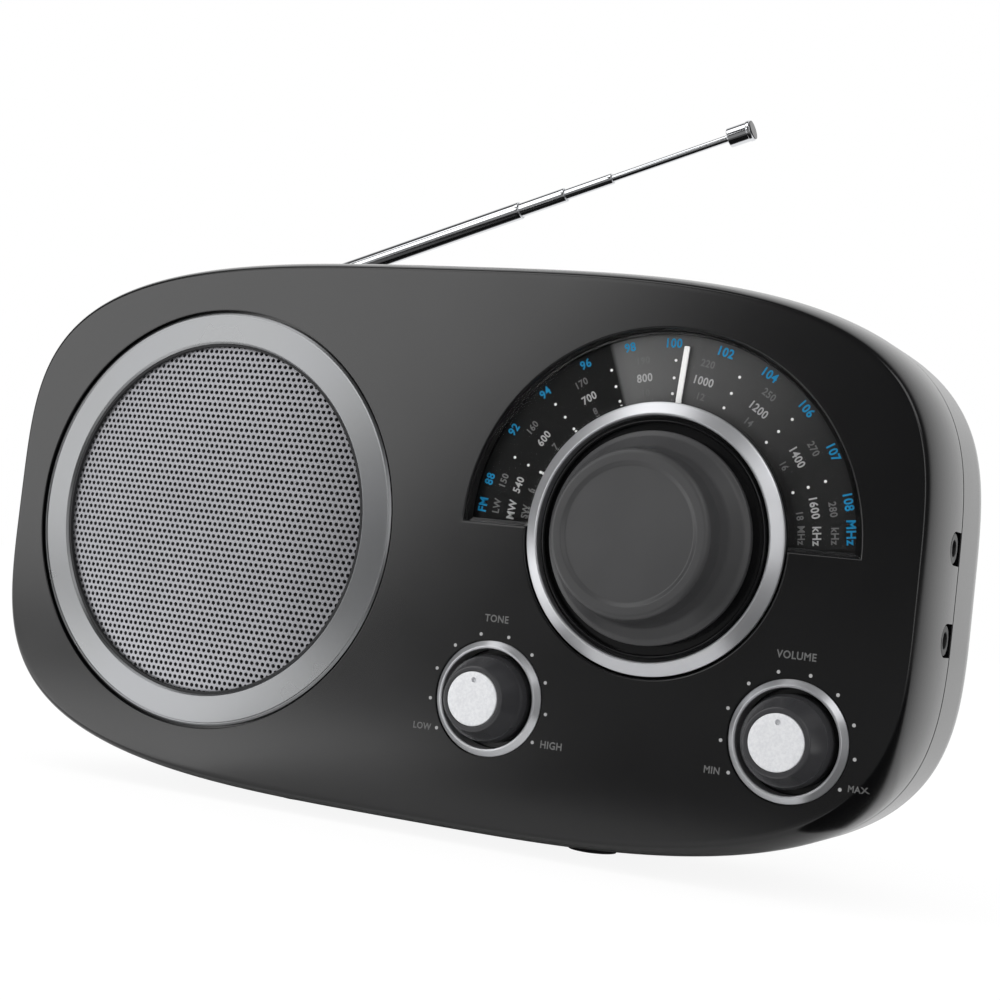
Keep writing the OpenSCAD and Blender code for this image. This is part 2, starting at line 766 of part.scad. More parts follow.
can = 7.6;
module board_coil_cans() {
    color("#c2c3c6") for (i = [0 : 4])
        place(scale_x - 40 + 17 * i, 24 + 6 * (i % 2)) difference() {
            block_y(can, can, board_back, board_back + 9);
            bar_y(1.6, board_back + 8, board_back + 10);
        }
}
module board_capacitors() {
    color("#23324f") for (i = [0 : 4])
        place(scale_x - 40 + 18 * i, -6 - 9 * (i % 2))
            bar_y(i % 2 == 0 ? 4 : 3, board_back, board_back + (i % 2 == 0 ? 12 : 9));
}
module board_chips() {
    color("#151517") {
        place(scale_x - 12, 6) block_y(20, 6.5, board_back, board_back + 3);
        place(scale_x + 18, small_z - 2) block_y(10, 6.5, board_back, board_back + 3);
    }
}

module ferrite_rod() {
    color("#2d2c2b") place(0, ferrite_z, ferrite_t) bar_x(ferrite_r, ferrite_x[0], ferrite_x[1]);
}
module ferrite_coils() {
    color("#b4673a") for (x = [ferrite_x[0] + 16, ferrite_x[1] - 34])
        place(x, ferrite_z, ferrite_t) difference() {
            union() {
                bar_x(ferrite_r + 1.2, 0, 18);
                bar_x(ferrite_r + 1.8, 0, 1);
                bar_x(ferrite_r + 1.8, 17, 18);
            }
            bar_x(ferrite_r + run_gap, -1, 19);
        }
}
module ferrite_clips() {
    color("#d8d5cb") for (x = clip_x)
        place(x, ferrite_z) difference() {
            union() {
                translate([-2, board_back, -3]) cube([4, ferrite_t - board_back, 6]);
                translate([0, ferrite_t, 0]) bar_x(ferrite_r + 1.6, -2, 2);
            }
            translate([0, ferrite_t, 0]) bar_x(ferrite_r + run_gap, -3, 3);
        }
}

// ---------------------------------------------------------------- side sockets
jack_reach = body_w / 2 - 0.9;        // mouth of the sockets, just inside the side wall
jack_back = jack_reach - jack_bore_l - 1.5;
module jack(z, tone) {
    color(tone) place(0, z, jack_at) difference() {
        union() {
            bar_x(jack_notch_r - 0.3, jack_back, jack_reach);
            translate([jack_back, -4.2, -4.2]) cube([body_w / 2 - 5.5 - jack_back, 8.4, 8.4]);
        }
        bar_x(jack_bore_r, jack_reach - jack_bore_l, jack_reach + 1);
    }
}
module headphone_jack() jack(jack_z[0], "#38383b");
module line_jack() jack(jack_z[1], "#38383b");
module jack_board() {
    z0 = jack_z[1] - 8;
    color("#1f5a34") place(jack_back - 5, z0, jack_at + 4.2)
        cube([body_w / 2 - 8 - jack_back + 5, 1.2, jack_z[0] + 8 - z0]);
}

// ---------------------------------------------------------------- battery bay
tray_front = rear_in - bay_d - tray_w;
saddle_h = 6;
cell_step = 2 * cell_r + 0.6;
function cell_x(i) = (i - (cells - 1) / 2) * cell_step;
module battery_tray() {
    color("#232326") place(bay_x, bay_z) difference() {
        block_y(bay_w + 2 * tray_w, bay_h + 2 * tray_w, tray_front, rear_in);
        difference() {
            block_y(bay_w, bay_h, tray_front + tray_w, body_d);
            for (z = [-1, 1])
                translate([0, 0, z * cell_l / 4]) difference() {
                    block_y(bay_w + 1, 3, tray_front, tray_front + tray_w + saddle_h);
                    for (i = [0 : cells - 1])
                        translate([cell_x(i), tray_front + tray_w + cell_r + 0.4, -3])
                            cylinder(r = cell_r + 0.2, h = 6);
                }
        }
    }
}
contact_t = tray_front + tray_w + cell_r + 0.4;
module battery_contacts() {
    color("#c8c9cb") place(bay_x, bay_z) for (i = [0 : cells - 1], z = [-1, 1])
        translate([cell_x(i), contact_t, z * (bay_h / 2 - 0.2)]) {
            cube([14, 12, 0.4], center = true);
            if ((i % 2 == 0) == (z > 0))
                translate([0, 0, z > 0 ? -0.9 : 0]) cylinder(r = 3, h = 0.9);
        }
}
coil_n = 10;          // points per turn of a spring
coil_turns = 2.5;
spring_l = 5;         // free length
spring_r = [4.8, 3.2];             // mean radius at the foot and at the top
wire_r = 0.35;
wire_n = 6;           // sides of the wire
module battery_spring() {
    steps = coil_n * coil_turns;
    centre = function (k)
        let (u = 360 * k / coil_n, part = k / steps)
        let (r = spring_r[0] + (spring_r[1] - spring_r[0]) * part)
        [r * cos(u), r * sin(u), wire_r + (spring_l - 2 * wire_r) * part];
    points = [
        for (k = [0 : steps], j = [0 : wire_n - 1])
            let (u = 360 * k / coil_n, v = 360 * j / wire_n)
            centre(k) + wire_r * [cos(v) * cos(u), cos(v) * sin(u), sin(v)]
    ];
    sides = [
        for (k = [0 : steps - 1], j = [0 : wire_n - 1])
            let (a = k * wire_n + j, b = k * wire_n + (j + 1) % wire_n)
            each [[a, b, b + wire_n], [a, b + wire_n, a + wire_n]]
    ];
    first = [for (j = [wire_n - 1 : -1 : 0]) j];
    last = [for (j = [0 : wire_n - 1]) steps * wire_n + j];
    polyhedron(points = points, faces = concat(sides, [first, last]), convexity = 6);
}
module battery_springs() {
    color("#d5d6d8") place(bay_x, bay_z) for (i = [0 : cells - 1])
        translate([cell_x(i), contact_t, (i % 2 == 0 ? -1 : 1) * (bay_h / 2 - 0.4)])
            mirror([0, 0, i % 2]) battery_spring();
}
module battery_door() {
    color("#1d1d1f") place(bay_x, bay_z) difference() {
        union() {
            slab_y(body_d - door_t, body_d) round_rect(door_w, door_h, door_r - fit_gap);
            for (x = [-1, 1])
                translate([x * bay_w / 4, 0, -(bay_h / 2 - 0.9)])
                    block_y(10, 1.4, body_d - door_t - 4, body_d - door_t);
            translate([0, 0, bay_h / 2 - 0.9]) block_y(16, 1.4, body_d - door_t - 4, body_d - door_t);
        }
        for (i = [-2 : 2])
            translate([0, 0, bay_h / 2 - 7 + 2.2 * i]) block_y(26, 1, body_d - 0.6, body_d + 1);
    }
}

// ---------------------------------------------------------------- mains inlet and transformer
pin_x = 4.3;
module mains_inlet() {
    color("#141416") place(inlet_x, inlet_z) difference() {
        union() {
            slab_y(rear_in - 14, body_d - 0.2) stadium(inlet_w, inlet_h);
            slab_y(rear_in - 2, rear_in) stadium(inlet_w + 6, inlet_h + 6);
        }
        slab_y(body_d - 13, body_d + 1) stadium(inlet_w - 4.4, inlet_h - 3);
        for (x = [-1, 1]) translate([x * pin_x, 0, 0]) bar_y(1.2, rear_in - 15, body_d);
    }
}
module inlet_pins() {
    color("#c9c2a8") place(inlet_x, inlet_z)
        for (x = [-1, 1]) translate([x * pin_x, 0, 0]) bar_y(1.2 - eps, rear_in - 17, body_d - 3);
}
coil_gap = 0.2;
coil_out = 6.8;       // how far the winding stands out of the stack
module transformer_core() {
    window = core_w / 2 - 2 * limb;
    color("#6d6f73") place(core_x, core_z) difference() {
        union() {
            block_y(core_w, core_h, core_at - core_t, core_at);
            block_y(core_w + 4 * lug, 10, core_at, core_at + flange_w);
        }
        for (x = [-1, 1]) translate([x * (limb + window / 2), 0, 0])
            block_y(window, core_h - 2 * limb, core_at - core_t - 1, core_at + flange_w + 1);
        for (x = [-1, 1])
            translate([x * (core_w / 2 + lug), 0, 0]) bar_y(1.4, 0, body_d);
        block_y(2 * limb + 2, core_h - 2 * limb, core_at, core_at + flange_w + 1);
    }
}
module transformer_coil() {
    window = core_w / 2 - 2 * limb;
    color("#d8b13c") place(core_x, core_z) difference() {
        block_y(
            2 * (limb + window - coil_gap), core_h - 2 * limb - 2 * coil_gap,
            core_at - core_t - coil_out, core_at + coil_out
        );
        block_y(
            2 * (limb + coil_gap), core_h,
            core_at - core_t - coil_gap, core_at + coil_gap
        );
    }
}

// ---------------------------------------------------------------- wave-band switch
module band_switch() {
    color("#b5b6b9") place(band_x, band_z) difference() {
        block_y(band_slot_w + 5, 9, rear_in - 7, rear_in);
        block_y(band_slot_w, band_slot_h, rear_in - 5.5, body_d);
    }
}
module band_slider() {
    stem_w = 6;
    color("#2c2c2f") place(band_x - band_travel / 2, band_z) difference() {
        block_y(stem_w, band_slot_h - 0.5, rear_in - 5.2, body_d - 0.3);
        for (i = [-1 : 1]) translate([1.6 * i, 0, 0]) block_y(0.7, 9, body_d - 0.8, body_d);
    }
}

// ---------------------------------------------------------------- aerial
pin_r = 0.8;
tube_wall = 0.38;
slide_gap = 0.06;
tube_radii = [for (k = [0 : 3]) tube_r - k * (tube_wall + slide_gap)];
module along_aerial() {
    place(aerial_x, aerial_z, aerial_at) rotate([0, -aerial_angle, 0]) children();
}
module aerial_bracket() {
    plate_t = 1.2;
    color("#b8b9bc") place(aerial_x, aerial_z, aerial_at) difference() {
        union() {
            for (s = [-1, 1])
                translate([0, s * (tongue_t / 2 + run_gap + ear_t / 2), 0]) {
                    rotate([90, 0, 0]) cylinder(r = ear_r, h = ear_t, center = true);
                    translate([-ear_r, -ear_t / 2, bracket_z - aerial_z - plate_t])
                        cube([2 * ear_r, ear_t, aerial_z - bracket_z + plate_t]);
                }
            translate([-ear_r, -bracket_w / 2, bracket_z - aerial_z - plate_t])
                cube([bracket_l, bracket_w, plate_t]);
        }
        rotate([90, 0, 0]) cylinder(r = pin_r + eps, h = 10, center = true);
    }
}
module aerial_pin() {
    color("#c8c9cb") place(aerial_x, aerial_z, aerial_at) {
        rotate([90, 0, 0]) cylinder(r = pin_r, h = fork_w + 0.4, center = true);
        for (s = [-1, 1])
            translate([0, s * (fork_w / 2 + 0.2), 0]) rotate([90, 0, 0])
                cylinder(r = pin_r + 0.5, h = 0.4, center = true);
    }
}
collar_from = 4.2;
collar_to = 12;
module aerial_knuckle() {
    color("#d9dadd") along_aerial() difference() {
        union() {
            rotate([90, 0, 0]) cylinder(r = ear_r, h = tongue_t, center = true);
            translate([0, -tongue_t / 2, -ear_r]) cube([collar_from + 1, tongue_t, 2 * ear_r]);
            bar_x(tube_r + 0.25, collar_from, collar_to);
        }
        rotate([90, 0, 0]) cylinder(r = pin_r + run_gap, h = 10, center = true);
        bar_x(tube_r + eps, collar_from + 3, collar_to + 1);
    }
}
// One hollow section from a to b along the aerial
module section(r, a, b) {
    color("#d9dadd") along_aerial() difference() {
        bar_x(r, a, b);
        bar_x(r - tube_wall, a - 1, b + 1);
    }
}
end_1 = tube_l;
end_2 = end_1 + section_out[0];
end_3 = end_2 + section_out[1];
end_4 = end_3 + section_out[2];
module aerial_tube_1() section(tube_radii[0], collar_from + 3.2, end_1);
module aerial_tube_2() section(tube_radii[1], end_2 - section_l, end_2);
module aerial_tube_3() section(tube_radii[2], end_3 - section_l, end_3);
module aerial_rod() {
    color("#d9dadd") along_aerial() bar_x(tube_radii[3], end_4 - section_l, end_4 + 1);
}
module aerial_tip() {
    color("#c8c9cc") along_aerial() difference() {
        union() {
            bar_x(tip_r, end_4, end_4 + tip_l);
            bar_x(tip_r + 0.15, end_4 + tip_l - 1.1, end_4 + tip_l - 0.2);
        }
        bar_x(tube_radii[3] + eps, end_4 - 1, end_4 + 1 + eps);
    }
}

// ---------------------------------------------------------------- feet and screws
module rubber_feet() {
    color("#2a2a2c") at_feet() translate([0, 0, -foot_h])
        cylinder(r1 = foot_r - 0.4, r2 = foot_r, h = foot_h - plinth_low + socket_t);
}
module case_screws() {
    color("#a8a9ac") for (p = posts) place(p[0], p[1]) {
        bar_y(screw_r, post_t - screw_l + 1, post_t + tube_floor + 0.2);
        difference() {
            bar_y(head_r, post_t + tube_floor, post_t + tube_floor + head_h);
            for (a = [0, 90]) rotate([0, a, 0])
                block_y(4, 0.8, post_t + tube_floor + head_h - 1.2, post_t + tube_floor + head_h + 1);
        }
    }
}

front_cabinet();
rear_cabinet();
speaker_trim_ring();
speaker_grille();
speaker_frame();
speaker_magnet();
speaker_surround();
speaker_cone();
speaker_dust_cap();
speaker_screws();
scale_plate();
scale_lens();
tuning_knob();
tuning_ring();
needle_hub();
scale_needle();
tuning_shaft();
tuning_capacitor();
tone_bezel();
tone_knob();
tone_cap();
tone_shaft();
tone_control();
volume_bezel();
volume_knob();
volume_cap();
volume_shaft();
volume_control();
main_board();
board_coil_cans();
board_capacitors();
board_chips();
ferrite_rod();
ferrite_coils();
ferrite_clips();
jack_board();
headphone_jack();
line_jack();
battery_tray();
battery_contacts();
battery_springs();
battery_door();
mains_inlet();
inlet_pins();
transformer_core();
transformer_coil();
band_switch();
band_slider();
aerial_bracket();
aerial_pin();
aerial_knuckle();
aerial_tube_1();
aerial_tube_2();
aerial_tube_3();
aerial_rod();
aerial_tip();
rubber_feet();
case_screws();
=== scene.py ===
"""Looks of a portable shortwave receiver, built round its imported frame.

Sizes are millimetres in the row frame: X runs to the right of the front panel, Y to the rear and Z up.
Meshes are scaled to metres where they are made. Depths are counted along Y from the flat front panel.
"""

from __future__ import annotations

import logging
import math
from dataclasses import dataclass, field
from enum import Enum
from typing import Iterable, Sequence

import bmesh
import bpy
from mathutils import Matrix, Vector

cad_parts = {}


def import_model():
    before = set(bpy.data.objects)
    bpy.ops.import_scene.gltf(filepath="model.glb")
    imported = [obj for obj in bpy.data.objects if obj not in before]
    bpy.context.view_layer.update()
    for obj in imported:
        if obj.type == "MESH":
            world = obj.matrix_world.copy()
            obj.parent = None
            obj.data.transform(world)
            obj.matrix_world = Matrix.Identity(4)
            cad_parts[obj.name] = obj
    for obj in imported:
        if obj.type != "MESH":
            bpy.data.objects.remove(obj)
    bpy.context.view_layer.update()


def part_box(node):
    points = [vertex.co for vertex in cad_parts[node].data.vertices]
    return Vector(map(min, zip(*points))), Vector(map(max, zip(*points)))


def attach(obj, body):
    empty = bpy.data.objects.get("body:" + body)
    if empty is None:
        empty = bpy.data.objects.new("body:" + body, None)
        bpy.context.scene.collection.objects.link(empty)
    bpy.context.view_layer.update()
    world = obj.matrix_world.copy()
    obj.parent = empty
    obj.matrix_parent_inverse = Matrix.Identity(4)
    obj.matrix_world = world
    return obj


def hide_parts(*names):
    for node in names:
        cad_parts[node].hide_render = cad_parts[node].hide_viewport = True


LOG = logging.getLogger("receiver")
MM = 0.001
Point = tuple[float, float]
Vec = tuple[float, float, float]
# Corners as (u, v), or as (u, v, radius) where the corner is rounded
Corners = Sequence[Sequence[float]]

# Turns for shapes made along Y: to lie along X, and to stand along Z
ALONG_X = Matrix.Rotation(math.radians(-90), 4, "Z")
UPRIGHT = Matrix.Rotation(math.radians(90), 4, "X")
# Edges sharper than this stay sharp in the shading
CREASE = math.radians(32.0)
# Cutters stand this far out of the skin, and their softened mouths start this far in front of it
PROUD = 2.0
NEAR = 0.001
# Play between neighbours that would otherwise share a face
PLAY = 0.02
SOCKET_NODES = ("headphone_jack", "line_jack")


# ---------------------------------------------------------------- shapes
@dataclass
class Shape:
    """A mesh in the making: points in millimetres, and faces as lists of their numbers."""

    points: list[Vec] = field(default_factory=list)
    faces: list[tuple[int, ...]] = field(default_factory=list)

    def add(self, other: Shape) -> Shape:
        """Takes in another shape and returns itself.

        Args:
            other: The shape whose points and faces are added.

        Returns:
            This shape.
        """
        start = len(self.points)
        self.points += other.points
        self.faces += [tuple(start + i for i in face) for face in other.faces]
        return self

    def put(self, matrix: Matrix) -> Shape:
        """The shape with its points put through a matrix."""
        return Shape([tuple(matrix @ Vector(p)) for p in self.points], list(self.faces))

    def at(self, x: float, y: float, z: float) -> Shape:
        """The shape moved by a distance."""
        return self.put(Matrix.Translation((x, y, z)))

    def bmesh(self) -> bmesh.types.BMesh:
        """The shape as a clean closed mesh with its normals outwards.

        Returns:
            A new mesh in millimetres, which the caller frees.
        """
        bm = bmesh.new()
        corners = [bm.verts.new(p) for p in self.points]
        for face in self.faces:
            if len(set(face)) > 2:
                bm.faces.new([corners[i] for i in dict.fromkeys(face)])
        bmesh.ops.remove_doubles(bm, verts=bm.verts, dist=1e-4)
        bmesh.ops.dissolve_degenerate(bm, edges=bm.edges, dist=1e-5)
        bmesh.ops.recalc_face_normals(bm, faces=bm.faces)
        return bm


def lofted(rings: Sequence[Sequence[Vec]], ring_shaped: bool = False) -> Shape:
    """A skin through rings of points.

    Args:
        rings: Rings of the same number of points each.
        ring_shaped: True joins the last ring to the first, and False closes both ends with a face.

    Returns:
        The closed shape.
    """
    n, m = len(rings[0]), len(rings)
    faces: list[tuple[int, ...]] = [
        (k * n + i, k * n + (i + 1) % n, (k + 1) % m * n + (i + 1) % n, (k + 1) % m * n + i)
        for k in range(m if ring_shaped else m - 1)
        for i in range(n)
    ]
    if not ring_shaped:
        faces += [tuple(range(n - 1, -1, -1)), tuple(range((m - 1) * n, m * n))]
    return Shape([p for ring in rings for p in ring], faces)


def turned(profile: Iterable[Point], steps: int = 144) -> Shape:
    """A closed profile of (radius, depth) points turned about the Y axis."""
    turns = [2 * math.pi * i / steps for i in range(steps)]
    return lofted([[(r * math.cos(a), y, r * math.sin(a)) for a in turns] for r, y in profile], True)


def rounded(corners: Corners, steps: int = 4) -> list[Point]:
    """A closed outline whose corners are rounded.

    Args:
        corners: Its corners.
        steps: Pieces in each arc.

    Returns:
        The outline's points.
    """
    knots = [(Vector(c[:2]), c[2] if len(c) > 2 else 0.0) for c in corners]
    outline: list[Point] = []
    for i, (here, radius) in enumerate(knots):
        before = knots[i - 1][0] - here
        after = knots[(i + 1) % len(knots)][0] - here
        half = before.angle(after) / 2
        # A corner that is nearly straight stays as it is
        if radius == 0 or half > math.radians(88):
            outline.append(tuple(here))
            continue
        # An arc takes less than half of each side
        away = min(radius / math.tan(half), 0.49 * before.length, 0.49 * after.length)
        start, end = here + before.normalized() * away, here + after.normalized() * away
        middle = here + (before.normalized() + after.normalized()).normalized() * away / math.cos(half)
        sweep = (start - middle).angle_signed(end - middle)
        for k in range(steps + 1):
            turn = Matrix.Rotation(-sweep * k / steps, 2)
            outline.append(tuple(middle + turn @ (start - middle)))
    return outline


def polar(radius: float, degrees: float) -> Point:
    """A place by its distance from the origin and its angle, anticlockwise from the right."""
    a = math.radians(degrees)
    return radius * math.cos(a), radius * math.sin(a)


def arc(radius: float, start: float, end: float, steps: int) -> list[Point]:
    """Points of an arc about the origin, between two angles in degrees."""
    return [polar(radius, start + (end - start) * i / steps) for i in range(steps + 1)]


def quarter(steps: int = 3) -> list[float]:
    """The angles of a quarter turn in even steps, in radians and with both ends."""
    return [math.radians(90 * i / steps) for i in range(steps + 1)]


def inset(outline: Sequence[Point], by: float) -> list[Point]:
    """An outline moved inwards or outwards.

    Args:
        outline: A closed outline that runs anticlockwise.
        by: The distance inwards. Below 0 it is outwards.

    Returns:
        As many points as before.
    """
    moved: list[Point] = []
    for i, here in enumerate(outline):
        before = Vector(here) - Vector(outline[i - 1])
        after = Vector(outline[(i + 1) % len(outline)]) - Vector(here)
        sides = [Vector((-d.y, d.x)).normalized() for d in (before, after)]
        middle = (sides[0] + sides[1]).normalized()
        # A sharp corner moves no further than two and a half times the distance
        moved.append(tuple(Vector(here) + middle * by / max(0.4, middle.dot(sides[0]))))
    return moved


def slab(outline: Sequence[Point], stations: Iterable[Point]) -> Shape:
    """An outline in X and Z made solid through (depth, inset) stations along Y."""
    return lofted([[(x, y, z) for x, z in inset(outline, by)] for y, by in stations])


def soft_edges(front: float, rear: float, radius: float) -> list[Point]:
    """Stations from a front to a rear depth whose two edges are rounded."""
    first = [(front + radius * (1 - math.sin(a)), radius * (1 - math.cos(a))) for a in reversed(quarter())]
    return first + [(front + rear - y, by) for y, by in reversed(first)]


def rod(radius: float, start: float, end: float, steps: int = 96) -> Shape:
    """A plain round bar along Y, used to cut and to join."""
    return slab(arc(radius, 0, 360 - 360 / steps, steps - 1), [(start, 0), (end, 0)])


def post(radius: float, low: float, high: float) -> Shape:
    """An upright round bar between two heights, used to cut and to join."""
    return rod(radius, low, high).put(UPRIGHT)


def block(low: Sequence[float], high: Sequence[float]) -> Shape:
    """A block between two corners, used to cut and to join."""
    sides = [(low[0], low[2]), (high[0], low[2]), (high[0], high[2]), (low[0], high[2])]
    return slab(sides, [(low[1], 0), (high[1], 0)])


def stadium(width: float, height: float, steps: int = 16) -> list[Point]:
    """The outline of a slot with round ends.

    Args:
        width: Its length over both ends.
        height: The diameter of the ends.
        steps: Steps round each end.

    Returns:
        The outline about its middle.
    """
    reach = (width - height) / 2
    right = [(x + reach, z) for x, z in arc(height / 2, -90, 90, steps)]
    return right + [(x - reach, z) for x, z in arc(height / 2, 90, 270, steps)]


def plain_box(width: float, height: float, radius: float) -> list[Point]:
    """The outline of a rectangle with round corners, about its middle."""
    w, h = width / 2, height / 2
    return rounded([(-w, -h, radius), (w, -h, radius), (w, h, radius), (-w, h, radius)], 6)


class Join(Enum):
    """How one solid changes another."""

    CUT = "DIFFERENCE"
    ADD = "UNION"


def evaluated(obj: bpy.types.Object) -> Shape:
    """The shape of an object with its modifiers done.

    Args:
        obj: The object, which is removed.

    Returns:
        Its points and faces.
    """
    bpy.context.view_layer.update()
    mesh = obj.evaluated_get(bpy.context.evaluated_depsgraph_get()).to_mesh()
    shape = Shape([tuple(v.co) for v in mesh.vertices], [tuple(f.vertices) for f in mesh.polygons])
    bpy.data.objects.remove(obj)
    return shape


def combined(base: Shape, how: Join, tools: Sequence[Shape]) -> Shape:
    """A solid cut by others or joined with them.

    Args:
        base: The solid that is changed.
        how: Whether the tools are cut away or added.
        tools: Closed shapes, taken one after another.

    Returns:
        The new solid.
    """

    def as_object(shape: Shape) -> bpy.types.Object:
        """A shape as an object in the scene.

        Args:
            shape: A closed shape.

        Returns:
            The new object.
        """
        mesh = bpy.data.meshes.new("tool")
        bm = shape.bmesh()
        bm.to_mesh(mesh)
        bm.free()
        obj = bpy.data.objects.new("tool", mesh)
        bpy.context.scene.collection.objects.link(obj)
        return obj

    objects = [as_object(shape) for shape in (base, *tools)]
    for tool in objects[1:]:
        step = objects[0].modifiers.new("step", "BOOLEAN")
        step.operation, step.solver, step.object = how.value, "MANIFOLD", tool
    result = evaluated(objects[0])
    for tool in objects[1:]:
        bpy.data.objects.remove(tool)
    return result


# ---------------------------------------------------------------- finishes
def linear(colour: str) -> tuple[float, float, float, float]:
    """An sRGB colour as linear values.

    Args:
        colour: A colour such as #1a2b3c.

    Returns:
        Red, green and blue, with alpha 1.
    """
    parts = [int(colour[i : i + 2], 16) / 255 for i in (1, 3, 5)]
    r, g, b = (c / 12.92 if c <= 0.04045 else ((c + 0.055) / 1.055) ** 2.4 for c in parts)
    return r, g, b, 1.0


def add_node(
    tree: bpy.types.NodeTree, kind: str, settings: dict[str, object] | None = None, **links: object
) -> bpy.types.Node:
    """Adds a node with its settings and links.

    Args:
        tree: The node tree.
        kind: The node's type, without its Shader prefix.
        settings: Values by the name of a property or of an input.
        links: Sockets by the name of the input that they feed, with _ for a space, or in0, in1 by place.

    Returns:
        The node.
    """
    node = tree.nodes.new("ShaderNode" + kind)
    for name, value in (settings or {}).items():
        if name in node.bl_rna.properties:
            setattr(node, name, value)
        else:
            node.inputs[int(name) if name.isdigit() else name].default_value = value
    for name, socket in links.items():
        place = int(name[2:]) if name[:2] == "in" and name[2:].isdigit() else name.replace("_", " ")
        tree.links.new(socket, node.inputs[place])
    return node


# The noise stays nearly always in the first span, and the colours change over within the second
NOISE_SPAN = (0.3, 0.7)
COLOUR_SPAN = (0.35, 0.65)


@dataclass(frozen=True)
class Finish:
    """A surface: what it is made of, how it was worked, and what that gives the eye.

    Attributes:
        name: The material's name.
        slot: Name of a material slot, which nothing in this script reads.
        colour: Main colour, as sRGB hex.
        second: The colour that it varies to in soft patches.
        roughness: Mean roughness, and how far it varies each way.
        metallic: 1 for bare metal.
        ior: Index of refraction of a plastic, paint or glass. Metals keep the default.
        grain_mm: Size of the relief's grain. Moulded and blasted grain is finer, and is drawn just coarse
            enough to show.
        relief_mm: Height of the relief.
        patch_mm: Size of the soft patches of colour and roughness.
        clear: True for clear acrylic and glass.
        shine: Strength of the surface's mirror layer, where 0.5 is that of the bare index.
    """

    name: str
    slot: str
    colour: str
    second: str
    roughness: tuple[float, float] = (0.4, 0.04)
    metallic: float = 0.0
    ior: float = 1.5
    grain_mm: float = 0.35
    relief_mm: float = 0.004
    patch_mm: float = 18.0
    clear: bool = False
    shine: float = 0.5

    def material(self) -> bpy.types.Material:
        """The material, made on first use."""
        return bpy.data.materials.get(self.name) or self.make()

    def make(self) -> bpy.types.Material:
        """Builds the material's nodes.

        Returns:
            The new material.
        """
        mat = bpy.data.materials.new(self.name)
        mat.use_nodes = True
        tree = mat.node_tree
        tree.nodes.clear()
        place = add_node(tree, "TexCoord").outputs["Object"]
        patch = add_node(tree, "TexNoise", {"Scale": 1 / (self.patch_mm * MM), "Detail": 3.0}, Vector=place)
        tone = self.tone(tree, place, patch.outputs["Fac"])
        (low, high), (mean, way) = NOISE_SPAN, self.roughness
        rough = add_node(
            tree, "MapRange",
            {"From Min": low, "From Max": high, "To Min": mean - way, "To Max": mean + way},
            Value=patch.outputs["Fac"],
        )
        shine = add_node(
            tree, "BsdfPrincipled",
            {"Metallic": self.metallic, "IOR": self.ior, "Specular IOR Level": self.shine},
            Base_Color=tone, Roughness=rough.outputs["Result"],
        )
        if self.relief_mm:
            grain = add_node(
                tree, "TexNoise", {"Scale": 1 / (self.grain_mm * MM), "Detail": 2.0}, Vector=place
            )
            bump = add_node(
                tree, "Bump", {"Strength": 1.0, "Distance": self.relief_mm * MM},
                Height=grain.outputs["Fac"],
            )
            tree.links.new(bump.outputs["Normal"], shine.inputs["Normal"])
        surface = shine.outputs["BSDF"]
        if self.clear:
            shine.inputs["Transmission Weight"].default_value = 1.0
            ray = add_node(tree, "LightPath")
            through = add_node(tree, "BsdfTransparent")
            mixed = add_node(
                tree, "MixShader", None,
                in0=ray.outputs["Is Shadow Ray"], in1=surface, in2=through.outputs["BSDF"],
            )
            surface = mixed.outputs["Shader"]
        add_node(tree, "OutputMaterial", None, Surface=surface)
        return mat

    def tone(
        self, tree: bpy.types.NodeTree, place: bpy.types.NodeSocket, patch: bpy.types.NodeSocket
    ) -> bpy.types.NodeSocket:
        """Adds the nodes of the surface's colour, which is two close colours in soft patches.

        Args:
            tree: The material's node tree.
            place: Socket of the place on the piece.
            patch: Socket of the noise behind the patches.

        Returns:
            The socket that gives the colour.
        """
        ramp = add_node(tree, "ValToRGB", None, Fac=patch)
        for stop, place_on, colour in zip(ramp.color_ramp.elements, COLOUR_SPAN, (self.colour, self.second)):
            stop.position, stop.color = place_on, linear(colour)
        return ramp.outputs["Color"]


@dataclass(frozen=True)
class DialPaintedReflection(Finish):
    """Dark ground with a painted reflection of the window, whose tone changes round the dial, as (degrees,
    sRGB hex) in tones.
    """

    tones: tuple[tuple[float, str], ...] = ()

    def tone(
        self, tree: bpy.types.NodeTree, place: bpy.types.NodeSocket, patch: bpy.types.NodeSocket
    ) -> bpy.types.NodeSocket:
        """Adds the nodes of the ground's painted reflection, a tone at each angle about the piece's own Y
        axis.

        Args:
            tree: The material's node tree.
            place: Socket of the place on the piece.
            patch: Socket of the noise, which this painted ground does not need.

        Returns:
            The socket that gives the colour.
        """
        axes = add_node(tree, "SeparateXYZ", None, Vector=place)
        turn = add_node(
            tree, "Math", {"operation": "ARCTAN2"}, in0=axes.outputs["Z"], in1=axes.outputs["X"]
        )
        share = add_node(
            tree, "MapRange", {"From Min": -math.pi / 2, "From Max": 1.5 * math.pi},
            Value=turn.outputs["Value"],
        )
        ramp = add_node(tree, "ValToRGB", None, Fac=share.outputs["Result"])
        stops = ramp.color_ramp.elements
        for k, (angle, colour) in enumerate(sorted(self.tones)):
            place_on = (angle + 90) / 360
            stop = stops[k] if k < 2 else stops.new(place_on)
            stop.position, stop.color = place_on, linear(colour)
        return ramp.outputs["Color"]


# Injection-moulded ABS from a polished mould: near-black, with a soft satin sheen
ABS = Finish(
    "moulded_abs", "cabinet_plastic", "#070708", "#080809", (0.2, 0.01), ior=1.58, relief_mm=0.0005
)
# Anodised aluminium ring, fine-blasted before the anodising, so its highlights are broad and grainy
ANODISED = Finish(
    "anodised_aluminium", "trim_aluminium", "#878889", "#8a8b8d", (0.28, 0.01), 1.0,
    grain_mm=0.3, relief_mm=0.004, patch_mm=30.0,
)
